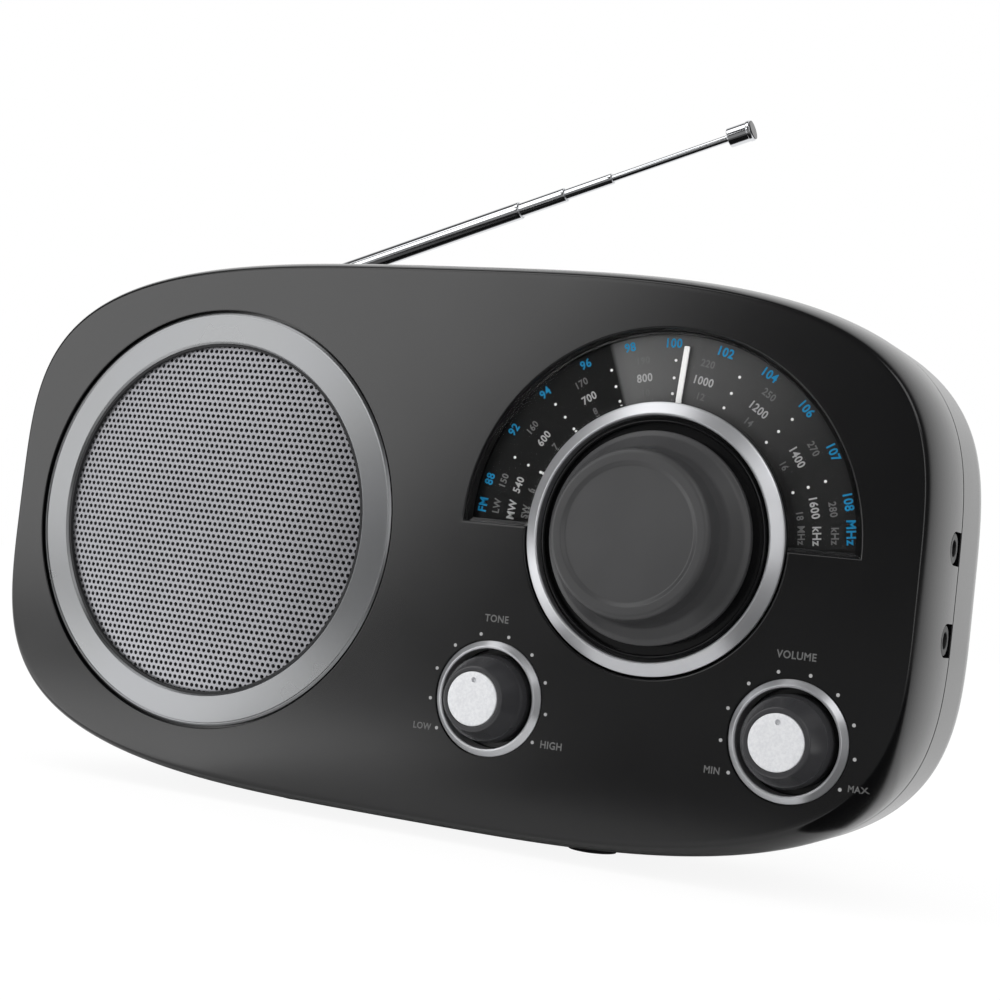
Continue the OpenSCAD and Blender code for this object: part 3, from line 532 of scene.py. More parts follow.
# Punched aluminium sheet, bead-blasted: a broad dull shine that fades across the dome, over dark holes
PUNCHED = Finish(
    "blasted_punched_aluminium", "grille_metal", "#949498", "#9a9a9e", (0.42, 0.02), 0.8,
    grain_mm=0.2, relief_mm=0.003, patch_mm=12.0,
)
# Vacuum-metallised ABS under a satin lacquer: a bright silver whose shades stay light
METALLISED = Finish(
    "metallised_abs", "silver_trim", "#cdced1", "#d5d6d9", (0.3, 0.02), 0.8,
    grain_mm=0.25, relief_mm=0.002,
)
# Silver lacquer on the small knobs' discs: fine flakes in a matt coat, bright from every side
SILVER = Finish(
    "silver_lacquer", "knob_disc", "#e0e1e3", "#d4d5d8", (0.5, 0.04), 0.25,
    grain_mm=0.15, relief_mm=0.006, patch_mm=0.6,
)
# Satin ABS of the tuning knob, from a spark-eroded mould
SATIN_ABS = Finish("satin_abs", "tuning_knob_plastic", "#373738", "#3b3b3c", (0.4, 0.03), relief_mm=0.003)
# Half-polished ABS of the small knobs, grey where it mirrors the room
SHEEN_ABS = Finish("sheen_abs", "knob_gloss", "#323234", "#363638", (0.24, 0.03), relief_mm=0.001)
# Polished ABS of the black channel round the tuning knob
GLOSS_ABS = Finish("gloss_abs", "knob_gloss", "#0d0d0e", "#101011", (0.12, 0.02), relief_mm=0.0005)
# Spark-eroded ABS of the sockets and inner mouldings: dull black, so they stay back
BLACK_ABS = Finish("black_abs", "black_plastic", "#161617", "#1b1b1c", (0.45, 0.05))
# Bright chrome plate on drawn brass tube: a clean mirror, so the tubes carry long light and dark lines
CHROME = Finish("chrome_plate", "aerial_chrome", "#d8dadd", "#e0e1e3", (0.07, 0.01), 1.0, relief_mm=0.0)
# Cast acrylic window with an anti-reflection coat, whose low index lets it hardly mirror the room
ACRYLIC = Finish(
    "cast_acrylic", "clear_acrylic", "#ffffff", "#ffffff", (0.03, 0.0), ior=1.1, relief_mm=0.0, clear=True
)
# Blue screen ink of the FM band: dense, and nearly without shine
BLUE_INK = Finish("blue_ink", "dial_plate", "#077fb0", "#0b87ba", (0.5, 0.05), shine=0.2)
# White, grey and dim grey screen inks: slightly raised, with a dull gloss
WHITE_INK = Finish("white_ink", "dial_plate", "#e8e8e6", "#f2f2f0", (0.5, 0.05))
GREY_INK = Finish("grey_ink", "dial_plate", "#989898", "#a4a4a4", (0.5, 0.05))
DIM_INK = Finish("dim_ink", "dial_plate", "#545454", "#5e5e5e", (0.5, 0.05))
# Black screen ink on the back of the window's rim: flat, and nearly without shine
BLACK_INK = Finish("black_ink", "dial_plate", "#050505", "#060606", (0.6, 0.05), relief_mm=0.0, shine=0.1)
# White moulded ABS: a clean bright line over the dark scale
NEEDLE = Finish("white_needle_abs", "needle_white", "#f4f4f2", "#fbfbfa", (0.35, 0.03))
# Scale ground with a painted reflection of the window: greys that rise from the right over the top, then a
# step to near-black
# The tones are a painted reflection of the window, laid into the ground's colour round the dial
SCALE_GROUND_PAINTED_REFLECTION = DialPaintedReflection(
    "printed_scale_ground", "dial_plate", "#1e1e1e", "#1e1e1e", (0.5, 0.03), shine=0.1,
    tones=((-60, "#0e0e0e"), (0, "#1c1c1c"), (30, "#242424"), (60, "#404040"), (80, "#505050"),
           (106, "#626262"), (109.8, "#5a5a5a"), (110.4, "#101010"), (200, "#0f0f0f")),
)
# Zinc-plated pressed steel of the driver: grey, with an uneven gleam
ZINC = Finish("zinc_plated_steel", "pressed_steel", "#8b8f94", "#9a9ea3", (0.35, 0.08), 1.0)
# Sintered ferrite of the magnet: dark, dull and slightly rough, as it leaves the press
FERRITE = Finish("sintered_ferrite", "magnet_ferrite", "#2c2c2e", "#353537", (0.7, 0.05), relief_mm=0.02)
# Moulded rubber of the feet: dark grey, with hardly any shine
RUBBER = Finish(
    "moulded_rubber", "foot_rubber", "#252527", "#2b2b2d", (0.75, 0.05), ior=1.52, relief_mm=0.01
)
# Foam rubber of the surround and of the gasket: the dullest black. On the gasket it paints the shade at the
# grille's rim
SURROUND = Finish("foam_rubber", "surround_rubber", "#1f1f21", "#262628", (0.8, 0.05), relief_mm=0.02)
# Pressed paper pulp of the cone: a warm dark grey, fibrous and without shine
PAPER = Finish(
    "pressed_paper", "cone_paper", "#33322f", "#3c3a36", (0.85, 0.05), relief_mm=0.03, patch_mm=5
)
# Laminate under green solder resist: smooth, with a soft gloss
BOARD = Finish("solder_resist", "board_laminate", "#1f5a34", "#245f39", (0.3, 0.05), ior=1.55)
# Turned brass shafts: yellow metal with a fine gloss
BRASS = Finish("turned_brass", "shaft_brass", "#b9a15a", "#c2aa62", (0.25, 0.05), 1.0)
# Moulded nylon: pale cream and waxy
CREAM = Finish("cream_nylon", "pale_plastic", "#d9d4c4", "#dfdacb", (0.5, 0.05))
# Deep-drawn aluminium cans: pale and evenly bright
DRAWN = Finish("drawn_aluminium", "can_aluminium", "#c2c3c6", "#cbccce", (0.3, 0.05), 1.0)
# Heat-shrunk sleeves of the capacitors: dark blue with a soft shine
SLEEVE = Finish("shrink_sleeve", "capacitor_sleeve", "#23324f", "#283857", (0.35, 0.05))
# Enamelled copper wire wound close: red-brown metal
COPPER = Finish("enamelled_copper", "copper_wire", "#b4673a", "#a95d33", (0.3, 0.05), 1.0)
# Polyester tape round the winding: smooth yellow
TAPE = Finish("polyester_tape", "winding_tape", "#d8b13c", "#cfa835", (0.3, 0.05))
# Nickel plate on contacts, springs and pins: bright and slightly clouded
NICKEL = Finish("nickel_plate", "contact_metal", "#c9cacc", "#d2d3d5", (0.22, 0.05), 1.0)
# Tin-plated steel cases of the controls: grey, with a soft gleam
TINNED = Finish("tinned_steel", "control_metal", "#9b9c9f", "#a5a6a9", (0.35, 0.06), 1.0)
# Stacked core sheets under varnish: mid grey and half dull
VARNISHED = Finish("varnished_steel", "core_steel", "#6d6f73", "#5f6165", (0.45, 0.08), 1.0)
# Plated screws: light grey and fairly bright
SCREW = Finish("plated_screw", "screw_steel", "#a8a9ac", "#b2b3b6", (0.3, 0.06), 1.0)
# Pressed and fired ferrite of the aerial rod: a dark matt ceramic
RODS = Finish("ferrite_rod_ceramic", "rod_ferrite", "#2d2c2b", "#353433", (0.6, 0.05))

# CAD nodes whose own shape is shown, by the finish that they get
DRESSED: dict[Finish, tuple[str, ...]] = {
    ZINC: ("speaker_frame",),
    FERRITE: ("speaker_magnet",),
    SURROUND: ("speaker_surround",),
    PAPER: ("speaker_cone", "speaker_dust_cap"),
    SCREW: ("speaker_screws", "case_screws"),
    BRASS: ("tuning_shaft", "tone_shaft", "volume_shaft"),
    CREAM: ("tuning_capacitor", "ferrite_clips"),
    TINNED: ("tone_control", "volume_control", "band_switch"),
    BOARD: ("main_board", "jack_board"),
    DRAWN: ("board_coil_cans",),
    SLEEVE: ("board_capacitors",),
    BLACK_ABS: (
        "board_chips", "headphone_jack", "line_jack", "battery_tray", "mains_inlet", "band_slider",
    ),
    RODS: ("ferrite_rod",),
    COPPER: ("ferrite_coils",),
    NICKEL: ("battery_contacts", "battery_springs", "inlet_pins", "aerial_bracket", "aerial_pin"),
    VARNISHED: ("transformer_core",),
    TAPE: ("transformer_coil",),
    RUBBER: ("rubber_feet",),
    ABS: ("battery_door",),
}


# ---------------------------------------------------------------- the frame
@dataclass(frozen=True)
class Extent:
    """The box of a CAD node, in millimetres."""

    low: Vector
    high: Vector

    @classmethod
    def of(cls, node: str) -> Extent:
        """The box of a node of the frame."""
        low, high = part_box(node)
        return cls(low / MM, high / MM)

    @property
    def middle(self) -> Vector:
        """The middle of the box."""
        return (self.low + self.high) / 2

    @property
    def size(self) -> Vector:
        """The three sides of the box."""
        return self.high - self.low


def solids_of(node: str, reach: float) -> list[Extent]:
    """The boxes of the separate solids of a CAD node.

    Args:
        node: The node.
        reach: A point within this distance of a solid's first point belongs to that solid.

    Returns:
        The boxes, in the order in which the node has the solids.
    """
    found: list[list[Vector]] = []
    for vertex in bpy.data.objects[node].data.vertices:
        here = vertex.co / MM
        near = next((group for group in found if (group[0] - here).length < reach), None)
        if near is None:
            found.append([here])
        else:
            near.append(here)
    # Fewer than four points make no solid, and are left out
    return [
        Extent(Vector(map(min, *group)), Vector(map(max, *group))) for group in found if len(group) > 3
    ]


def make(
    name: str,
    shape: Shape,
    finish: Finish,
    body: str = "cabinet",
    stands_for: Sequence[str] = (),
    origin: Sequence[float] = (0, 0, 0),
    evened: bool = False,
    flat: bool = False,
) -> None:
    """Makes a piece of the object.

    Args:
        name: The piece's name.
        shape: Its shape, about its own origin.
        finish: Its finish.
        body: The body that it rides on.
        stands_for: The CAD nodes that it is shown for.
        origin: Where its own origin lies.
        evened: True keeps the shading of large flat faces flat up to their rounded edges.
        flat: True shades every face flat.
    """
    mesh = bpy.data.meshes.new(name)
    bm = shape.bmesh()
    bm.to_mesh(mesh)
    bm.free()
    mesh.transform(Matrix.Scale(MM, 4))
    if not flat:
        mesh.shade_smooth()
        mesh.set_sharp_from_angle(angle=CREASE)
    mesh.materials.append(finish.material())
    piece = bpy.data.objects.new(name, mesh)
    if evened:
        even = piece.modifiers.new("even_shading", "WEIGHTED_NORMAL")
        even.keep_sharp = True
    piece.location = Vector(origin) * MM
    bpy.context.scene.collection.objects.link(piece)
    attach(piece, body)
    if stands_for:
        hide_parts(*stands_for)
    LOG.info("%s: %d faces, %s", name, len(mesh.polygons), finish.name)


# ---------------------------------------------------------------- cabinet
@dataclass
class Housing:
    """What both halves of the cabinet share.

    The outline is a soft rectangle, |x/a|^p + |z/b|^q = 1. Stations are (depth, inset) pairs, where the
    depth is counted behind the flat panel and the inset from the widest outline.

    Attributes:
        outline_p: Exponent p of the outline.
        outline_q: Exponent q of the outline.
        outline_points: Points round the outline.
        wall: Thickness of the side walls.
        edge_in: How far the rounded front edge lies inside the widest outline at the panel.
        edge_d: Depth over which that edge is rounded.
        rear_r: Radius of the rounded rear edge.
        seam: Depth of the parting line.
        seam_gap: Width of the parting line.
        lip: Radius of both halves' edges at the parting line.
        mouth: Radius of the edges of openings.
        rim: Width of the flat rim that is lofted with a rounded edge.
        face: Where the flat panel lies along Y.
        depth: Depth of the flat rear.
        middle: Middle of the outline.
        half: Half of the outline's width and height, in X and Z.
    """

    outline_p: float = 3.34
    outline_q: float = 3.86
    outline_points: int = 320
    wall: float = 2.4
    edge_in: float = 3.5
    edge_d: float = 20.0
    rear_r: float = 27.0
    seam: float = 21.0
    seam_gap: float = 0.4
    lip: float = 0.22
    mouth: float = 0.25
    rim: float = 0.8
    face: float = field(init=False)
    depth: float = field(init=False)
    middle: Vector = field(init=False)
    half: Vector = field(init=False)

    def __post_init__(self) -> None:
        """Takes the overall sizes from the frame."""
        skin = Extent.of("front_cabinet")
        self.face = skin.low.y
        self.depth = Extent.of("battery_door").high.y - self.face
        self.middle = skin.middle
        self.half = skin.size / 2

    def ring(self, depth: float, by: float) -> list[Vec]:
        """The outline at a depth.

        Args:
            depth: Distance behind the panel's face.
            by: How far the outline is inset.

        Returns:
            Its points in the frame, in millimetres.
        """
        points = []
        for i in range(self.outline_points):
            turn = 2 * math.pi * i / self.outline_points
            x = math.copysign(abs(math.cos(turn)) ** (2 / self.outline_p), math.cos(turn))
            z = math.copysign(abs(math.sin(turn)) ** (2 / self.outline_q), math.sin(turn))
            points.append((
                self.middle.x + (self.half.x - by) * x,
                self.face + depth,
                self.middle.z + (self.half.z - by) * z,
            ))
        return points

    def solid(self, stations: Iterable[Point]) -> Shape:
        """A closed body through stations."""
        return lofted([self.ring(t, by) for t, by in stations])

    def edge_inset(self, depth: float) -> float:
        """How far the front edge lies inside the widest outline at a depth."""
        return self.edge_in * (1 - math.sqrt(1 - (1 - min(depth / self.edge_d, 1.0)) ** 2))

    def edge_depth(self, x: float, z: float) -> float:
        """How far the rounded front edge lies behind the flat panel at a place.

        Args:
            x: The place from side to side.
            z: The place in height.

        Returns:
            The distance, which is 0 on the flat panel.
        """

        def past(by: float) -> float:
            """Whether the place lies outside an inset outline.

            Args:
                by: The inset.

            Returns:
                A number above 0 where it does.
            """
            return (
                abs((x - self.middle.x) / (self.half.x - by)) ** self.outline_p
                + abs((z - self.middle.z) / (self.half.z - by)) ** self.outline_q - 1
            )

        if past(self.edge_in) <= 0:
            return 0.0
        low, high = 0.0, self.edge_in
        # Forty halvings find the inset to far below a micron
        for _ in range(40):
            by = (low + high) / 2
            low, high = (low, by) if past(by) > 0 else (by, high)
        return self.edge_d * (1 - math.sqrt(1 - (1 - low / self.edge_in) ** 2))

    def lip_stations(self, depth: float, way: int) -> list[Point]:
        """Softened edge of a half at the parting line.

        Args:
            depth: Depth of the half's edge.
            way: 1 for the front half and -1 for the rear half.

        Returns:
            Stations from the skin towards the joint.
        """
        return [
            (depth + way * self.lip * (math.sin(a) - 1), self.lip * (1 - math.cos(a))) for a in quarter()
        ]

    def mouth_stations(self, floor: float, skin: float) -> list[Point]:
        """Stations of a cutter with a softened mouth.

        Args:
            floor: Where the cutter starts.
            skin: Where the wall's outer face lies.

        Returns:
            Stations from the floor out through the skin.
        """
        soft = [
            (skin - self.mouth * math.cos(a), -self.mouth * (1 - math.cos(math.pi / 2 - a)))
            for a in quarter()
        ]
        return [(floor, 0.0), *soft, (skin + PROUD, -self.mouth)]

    def round_cut(self, radius: float, depth: float, at: Vector, mouth: float = 0.0) -> Shape:
        """A round cutter from the panel's face to a depth.

        Args:
            radius: Its radius.
            depth: Its depth.
            at: Its axis is at the X and Z of this place.
            mouth: Radius of the edge that it leaves.

        Returns:
            The cutter.
        """
        profile = [(0.0, -PROUD), (radius + mouth, -PROUD), (radius + mouth, -NEAR)]
        profile += [(radius + mouth * (1 - math.sin(a)), mouth * (1 - math.cos(a))) for a in quarter()]
        profile += [(radius, depth), (0.0, depth)]
        return turned([(r, self.face + t) for r, t in profile], 192).at(at.x, 0, at.z)


@dataclass
class FrontHalf:
    """The front half of the cabinet: panel, ring seat, half-round window, wells and socket notches.

    Attributes:
        housing: The outline and the edges.
        panel: Thickness of the panel.
        inner_depths: Depths at which the inside follows the rounded front edge.
        through: Depth of a cutter that goes through the panel.
        ring_gap: Gap round the trim ring.
        speaker_hole_r: Radius of the opening behind the grille.
        seat: Depth of the trim ring's seat.
        window_r: Radius of the scale's window.
        window_lip: Radius of the window's edge.
        window_steps: Pieces in each arc of the window.
        ledge_w: Width of the ledge that carries the window.
        ledge_depth: Depth of that ledge.
        turn_gap: Gap round the turning parts.
        well_r: Radius of a small knob's well.
        well_d: Depth of the well.
        well_floor: Thickness of the well's floor and wall.
        groove_r: Radius of the fine groove round a small knob's bezel.
        groove_in: How far the groove reaches inside the well.
        groove_d: Depth of the groove.
        bush_r: Radius of the hole for a control's bush.
        notch_r: Radius of a socket's notch.
        notch_d: Depth of the notch.
        side_in: How far the side wall lies inside the widest outline at the sockets.
    """

    housing: Housing
    panel: float = 3.1
    inner_depths: tuple[float, ...] = (18.0, 12.0, 7.0)
    through: float = 9.0
    ring_gap: float = 0.3
    speaker_hole_r: float = 43.4
    seat: float = 2.4
    window_r: float = 46.2
    window_lip: float = 0.5
    window_steps: int = 150
    ledge_w: float = 1.0
    ledge_depth: float = 1.7
    turn_gap: float = 0.5
    well_r: float = 11.9
    well_d: float = 5.0
    well_floor: float = 1.6
    groove_r: float = 13.35
    groove_in: float = 0.4
    groove_d: float = 0.7
    bush_r: float = 3.7
    notch_r: float = 3.6
    notch_d: float = 14.0
    side_in: float = 0.1

    def shell(self) -> Shape:
        """The closed wall before it is cut.

        Returns:
            The outer and the inner skin as one closed shape.
        """
        h = self.housing
        stations = [(0.0, h.edge_in + h.rim)]
        stations += [(h.edge_d * (1 - math.cos(a)), h.edge_in * (1 - math.sin(a))) for a in quarter(24)]
        stations += h.lip_stations(h.seam, 1)
        stations += [(h.seam, h.wall)]
        stations += [(t, h.wall + h.edge_inset(t)) for t in (*self.inner_depths, self.panel)]
        return h.solid(stations)

    def window(self, centre: Vector, hub_r: float) -> list[Shape]:
        """The cutters of the half-round window.

        Args:
            centre: The dial's centre.
            hub_r: Radius of the tuning knob's opening, the window's lower side.

        Returns:
            The wide cutter down to the ledge and the one that goes through.
        """
        h = self.housing

        def outline(radius: float, lift: float) -> list[Point]:
            """An outline of the window.

            Args:
                radius: Radius of the upper arc.
                lift: Height of the arcs' ends over the dial's centre.

            Returns:
                The upper arc and the lower arc as one line.
            """
            high, low = (math.degrees(math.asin(lift / r)) for r in (radius, hub_r))
            steps = self.window_steps
            return arc(radius, high, 180 - high, steps) + arc(hub_r, 180 - low, 360 + low, steps)

        lip = self.window_lip
        mouth = [(-PROUD, -lip), (-NEAR, -lip)]
        mouth += [(lip * (1 - math.cos(a)), -lip * (1 - math.sin(a))) for a in quarter()]
        wide = slab(outline(self.window_r, 0.0), mouth + [(self.ledge_depth, 0.0)])
        inner = outline(self.window_r - self.ledge_w, self.ledge_w)
        through = slab(inner, [(-PROUD / 2, 0.0), (self.through, 0.0)])
        return [shape.at(centre.x, h.face, centre.z) for shape in (wide, through)]

    def notches(self) -> list[Shape]:
        """The cutters of the socket notches, which are U-shaped and open to the parting line.

        Returns:
            One cutter for each socket.
        """
        h = self.housing
        cuts = []
        skin = h.half.x - self.side_in
        for name in SOCKET_NODES:
            jack = Extent.of(name).middle
            to_seam = h.face + h.seam + PROUD / 2 - jack.y
            outline = arc(self.notch_r, -90, 90, 24) + [(-to_seam, self.notch_r), (-to_seam, -self.notch_r)]
            cut = slab(outline, h.mouth_stations(skin - self.notch_d, skin))
            cuts.append(cut.put(ALONG_X).at(0, jack.y, jack.z))
        return cuts

    def build(self) -> None:
        """Makes the piece."""
        h = self.housing
        ring, knob_ring = Extent.of("speaker_trim_ring"), Extent.of("tuning_ring")
        cuts = [
            h.round_cut(ring.size.x / 2 + self.ring_gap, self.seat, ring.middle, h.mouth),
            h.round_cut(self.speaker_hole_r, self.through, ring.middle),
            *self.window(knob_ring.middle, knob_ring.size.x / 2 + self.turn_gap),
            *self.notches(),
        ]
        cup_r, cup_d, start = self.well_r + self.well_floor, self.well_d + self.well_floor, self.panel / 2
        cup = turned([(0, start), (cup_r, start), (cup_r, cup_d), (0, cup_d)], 96)
        low, out, top, floor = self.well_r - self.groove_in, self.groove_r, -PROUD / 2, self.groove_d
        groove = turned([(out, top), (out, floor), (low, floor), (low, top)], 128)
        wells = [Extent.of(f"{name}_bezel").middle for name in ("tone", "volume")]
        for well in wells:
            cuts += [
                h.round_cut(self.well_r, self.well_d, well),
                groove.at(well.x, h.face, well.z),
                h.round_cut(self.bush_r, self.through, well),
            ]
        cups = [cup.at(well.x, h.face, well.z) for well in wells]
        shape = combined(combined(self.shell(), Join.ADD, cups), Join.CUT, cuts)
        make("front_half", shape, ABS, stands_for=["front_cabinet"], evened=True)


@dataclass
class Sockets:
    """The black collars round the bores of the two sockets, nearly flush with the side wall.

    Attributes:
        housing: The outline.
        collar_r: Outer radius of a collar.
        collar_edge: Radius of its outer edge.
        bore_r: Radius of its bore.
        bore_edge: Radius of the bore's edge.
        foot: Length of the collar.
        under: How far its face lies inside the widest outline.
    """

    housing: Housing
    collar_r: float = 3.3
    collar_edge: float = 0.3
    bore_r: float = 1.8
    bore_edge: float = 0.25
    foot: float = 1.2
    under: float = 0.3

    def build(self) -> None:
        """Makes both collars as one piece."""
        top = self.housing.half.x - self.under
        low = top - self.foot
        profile = (
            (self.bore_r, low), (self.bore_r, top, self.bore_edge),
            (self.collar_r, top, self.collar_edge), (self.collar_r, low),
        )
        collar = turned(rounded(profile), 64).put(ALONG_X)
        both = Shape()
        for name in SOCKET_NODES:
            jack = Extent.of(name).middle
            both.add(collar.at(0, jack.y, jack.z))
        make("socket_collars", both, BLACK_ABS)


@dataclass
class RearHalf:
    """The rear half: rounded back with aerial groove, screw wells, battery opening, inlet and switch slot.

    Attributes:
        housing: The outline and the edges.
        tongue_gap: Gap between the tongue and the front half's wall.
        tongue_w: Thickness of the tongue.
        tongue_l: Length of the tongue.
        tongue_free: Half of the height over which the right wall has no tongue.
        break_w: How far in from the right side that break reaches.
        sill: Depth behind the parting line at which the wall takes its own thickness.
        post_from: Depth at which the screw posts start.
        post_r: Radius of a screw post.
        recess_r: Radius of a screw's recess.
        recess_from: Depth of the recess's floor.
        screw_r: Radius of a screw's hole.
        groove_r: Radius of the aerial's groove.
        groove_rise: How far the groove's cutter reaches up.
        trough_w: Thickness of the wall under the groove.
        bracket_floor: Thickness of the wall under the aerial's bracket.
        knuckle_gap: Gap at the left of the knuckle's slot.
        knuckle_w: Width of the slot from the bracket's left side.
        knuckle_side: Gap in front of the knuckle and behind it.
        knuckle_d: Depth of the slot below the pin.
        plinth_r: Radius of the round plinth over a foot.
        plinth_low: How far the plinth reaches below the outline.
        plinth_h: Height of the plinth above the outline's lowest line.
        socket_r: Radius of a foot's socket.
        socket_h: Height of the socket above the outline's lowest line.
        door_gap: Gap round the battery door.
        door_r: Corner radius of its opening.
        door_t: Thickness of the door.
        opening_d: Depth of a cutter that goes through the rear wall.
        bay: Width, height and corner radius of the battery bay.
        band_slot: Width, height and corner radius of the wave-band switch's slot.
        band_dish: Width, height and depth of the dish round that slot.
        inlet: Width and height of the mains inlet.
        inlet_gap: Gap round the inlet.
    """

    housing: Housing
    tongue_gap: float = 0.3
    tongue_w: float = 1.3
    tongue_l: float = 3.9
    tongue_free: float = 36.0
    break_w: float = 12.0
    sill: float = 3.6
    post_from: float = 36.0
    post_r: float = 5.2
    recess_r: float = 3.4
    recess_from: float = 38.4
    screw_r: float = 1.65
    groove_r: float = 3.2
    groove_rise: float = 20.0
    trough_w: float = 2.2
    bracket_floor: float = 1.2
    knuckle_gap: float = 0.15
    knuckle_w: float = 4.95
    knuckle_side: float = 0.8
    knuckle_d: float = 12.0
    plinth_r: float = 8.0
    plinth_low: float = 0.3
    plinth_h: float = 12.0
    socket_r: float = 6.15
    socket_h: float = 1.2
    door_gap: float = 0.15
    door_r: float = 4.0
    door_t: float = 1.6
    opening_d: float = 6.0
    bay: Vec = (107.2, 53.2, 0.5)
    band_slot: Vec = (16.9, 5.0, 0.6)
    band_dish: Vec = (24.9, 10.0, 1.6)
    inlet: Point = (21.6, 11.6)
    inlet_gap: float = 0.3

    def skin(self, off: float, steps: int) -> list[Point]:
        """Stations of the rounded rear.

        Args:
            off: Distance inside the outer skin.
            steps: Steps of the quarter turn.

        Returns:
            Stations from the side wall to the flat rear.
        """
        h = self.housing
        radius = h.rear_r - off
        return [
            (h.depth - h.rear_r + radius * math.sin(a), off + radius * (1 - math.cos(a)))
            for a in quarter(steps)
        ]

    def shell(self) -> Shape:
        """The outer body with its tongue.

        Returns:
            A closed shape, solid inside.
        """
        h = self.housing
        start, tongue = h.seam + h.seam_gap, h.wall + self.tongue_gap
        stations = [(h.seam - self.tongue_l, tongue), (start, tongue)]
        stations += reversed(h.lip_stations(start, -1))
        return h.solid(stations + self.skin(0.0, 24) + [(h.depth, h.rear_r + h.rim)])

    def cavity(self) -> Shape:
        """The hollow inside.

        Returns:
            A cutter that keeps to the inner side of the wall.
        """
        h = self.housing
        inner, sill = h.wall + self.tongue_gap + self.tongue_w, h.seam + h.seam_gap + self.sill
        stations = [(h.seam - self.tongue_l - PROUD / 2, inner), (sill, inner), (sill, h.wall)]
        return h.solid(stations + self.skin(h.wall, 16))

    def mouthed(self, outline: Sequence[Point], at: Vector, depth: float) -> Shape:
        """A cutter of a depth from the flat rear, with a softened mouth."""
        h = self.housing
        return slab(outline, h.mouth_stations(h.depth - depth, h.depth)).at(at.x, h.face, at.z)

    def opening(self, sides: Vec, at: Vector) -> Shape:
        """A cutter through the rear wall, of a width, a height and a corner radius."""
        h = self.housing
        return slab(plain_box(*sides), [(h.depth - self.opening_d, 0), (h.depth, 0)]).at(at.x, h.face, at.z)

    def groove(self, radius: float, axis: Vector) -> Shape:
        """A bar along X with everything above it.

        Args:
            radius: The bar's radius.
            axis: A place on its axis.

        Returns:
            A cutter for the aerial's groove or for the trough round it.
        """
        sides = arc(radius, 180, 360, 32) + [(radius, self.groove_rise), (-radius, self.groove_rise)]
        reach = self.housing.half.x
        return slab(sides, [(-reach, 0), (reach, 0)]).put(ALONG_X).at(0, axis.y, axis.z)

    def tongue_break(self) -> Shape:
        """The break in the tongue at the right wall, where the sockets are.

        Returns:
            A block that takes the tongue away there.
        """
        h = self.housing
        front, back = h.face + h.seam - self.tongue_l - PROUD / 2, h.face + h.seam + h.seam_gap
        low = (h.half.x - self.break_w, front, h.middle.z - self.tongue_free)
        return block(low, (h.half.x + PROUD, back, h.middle.z + self.tongue_free))

    def screw_cuts(self, at: Vector) -> list[Shape]:
        """The cutters of a screw's recess and hole.

        Args:
            at: The screw's place, of which X and Z count.

        Returns:
            The recess and the hole.
        """
        h = self.housing
        recess = rod(self.recess_r, h.face + self.recess_from, h.face + h.depth + PROUD)
        hole = rod(self.screw_r, h.face + self.post_from - PROUD, h.face + h.depth)
        return [shape.at(at.x, 0, at.z) for shape in (recess, hole)]

    def build(self) -> None:
        """Makes the piece."""
        h = self.housing
        pin, bracket = Extent.of("aerial_pin").middle, Extent.of("aerial_bracket")
        screws = [solid.middle for solid in solids_of("case_screws", 12.0)]
        feet = [solid.middle for solid in solids_of("rubber_feet", 14.0)]
        underside = h.middle.z - h.half.z
        plinth = post(self.plinth_r, underside - self.plinth_low, underside + self.plinth_h)
        shape = combined(self.shell(), Join.ADD, [plinth.at(foot.x, foot.y, 0) for foot in feet])
        screw_post = rod(self.post_r, h.face + self.post_from, h.face + h.depth)
        low, high = bracket.low, bracket.high
        kept = [
            *(screw_post.at(screw.x, 0, screw.z) for screw in screws),
            self.groove(self.groove_r + self.trough_w, pin),
            block((low.x, low.y, low.z + self.bracket_floor), (high.x, high.y, pin.z)),
        ]
        shape = combined(shape, Join.CUT, [combined(self.cavity(), Join.CUT, kept), self.tongue_break()])
        cuts = [
            self.groove(self.groove_r, pin),
            block((low.x - self.knuckle_gap, low.y - self.knuckle_side, pin.z - self.knuckle_d),
                  (low.x + self.knuckle_w, high.y + self.knuckle_side, pin.z)),
        ]
        for screw in screws:
            cuts += self.screw_cuts(screw)
        socket = post(self.socket_r, -PROUD, underside + self.socket_h)
        cuts += [socket.at(foot.x, foot.y, 0) for foot in feet]
        door, inlet = Extent.of("battery_door"), Extent.of("mains_inlet").middle
        frame = plain_box(door.size.x + 2 * self.door_gap, door.size.z + 2 * self.door_gap, self.door_r)
        hole = stadium(self.inlet[0] + self.inlet_gap, self.inlet[1] + self.inlet_gap)
        slot = Extent.of("band_switch").middle
        cuts += [
            self.mouthed(frame, door.middle, self.door_t),
            self.opening(self.bay, door.middle),
            self.mouthed(hole, inlet, self.opening_d),
            self.mouthed(stadium(*self.band_dish[:2]), slot, self.band_dish[2]),
            self.opening(self.band_slot, slot),
        ]
        make("rear_half", combined(shape, Join.CUT, cuts), ABS, stands_for=["rear_cabinet"], evened=True)


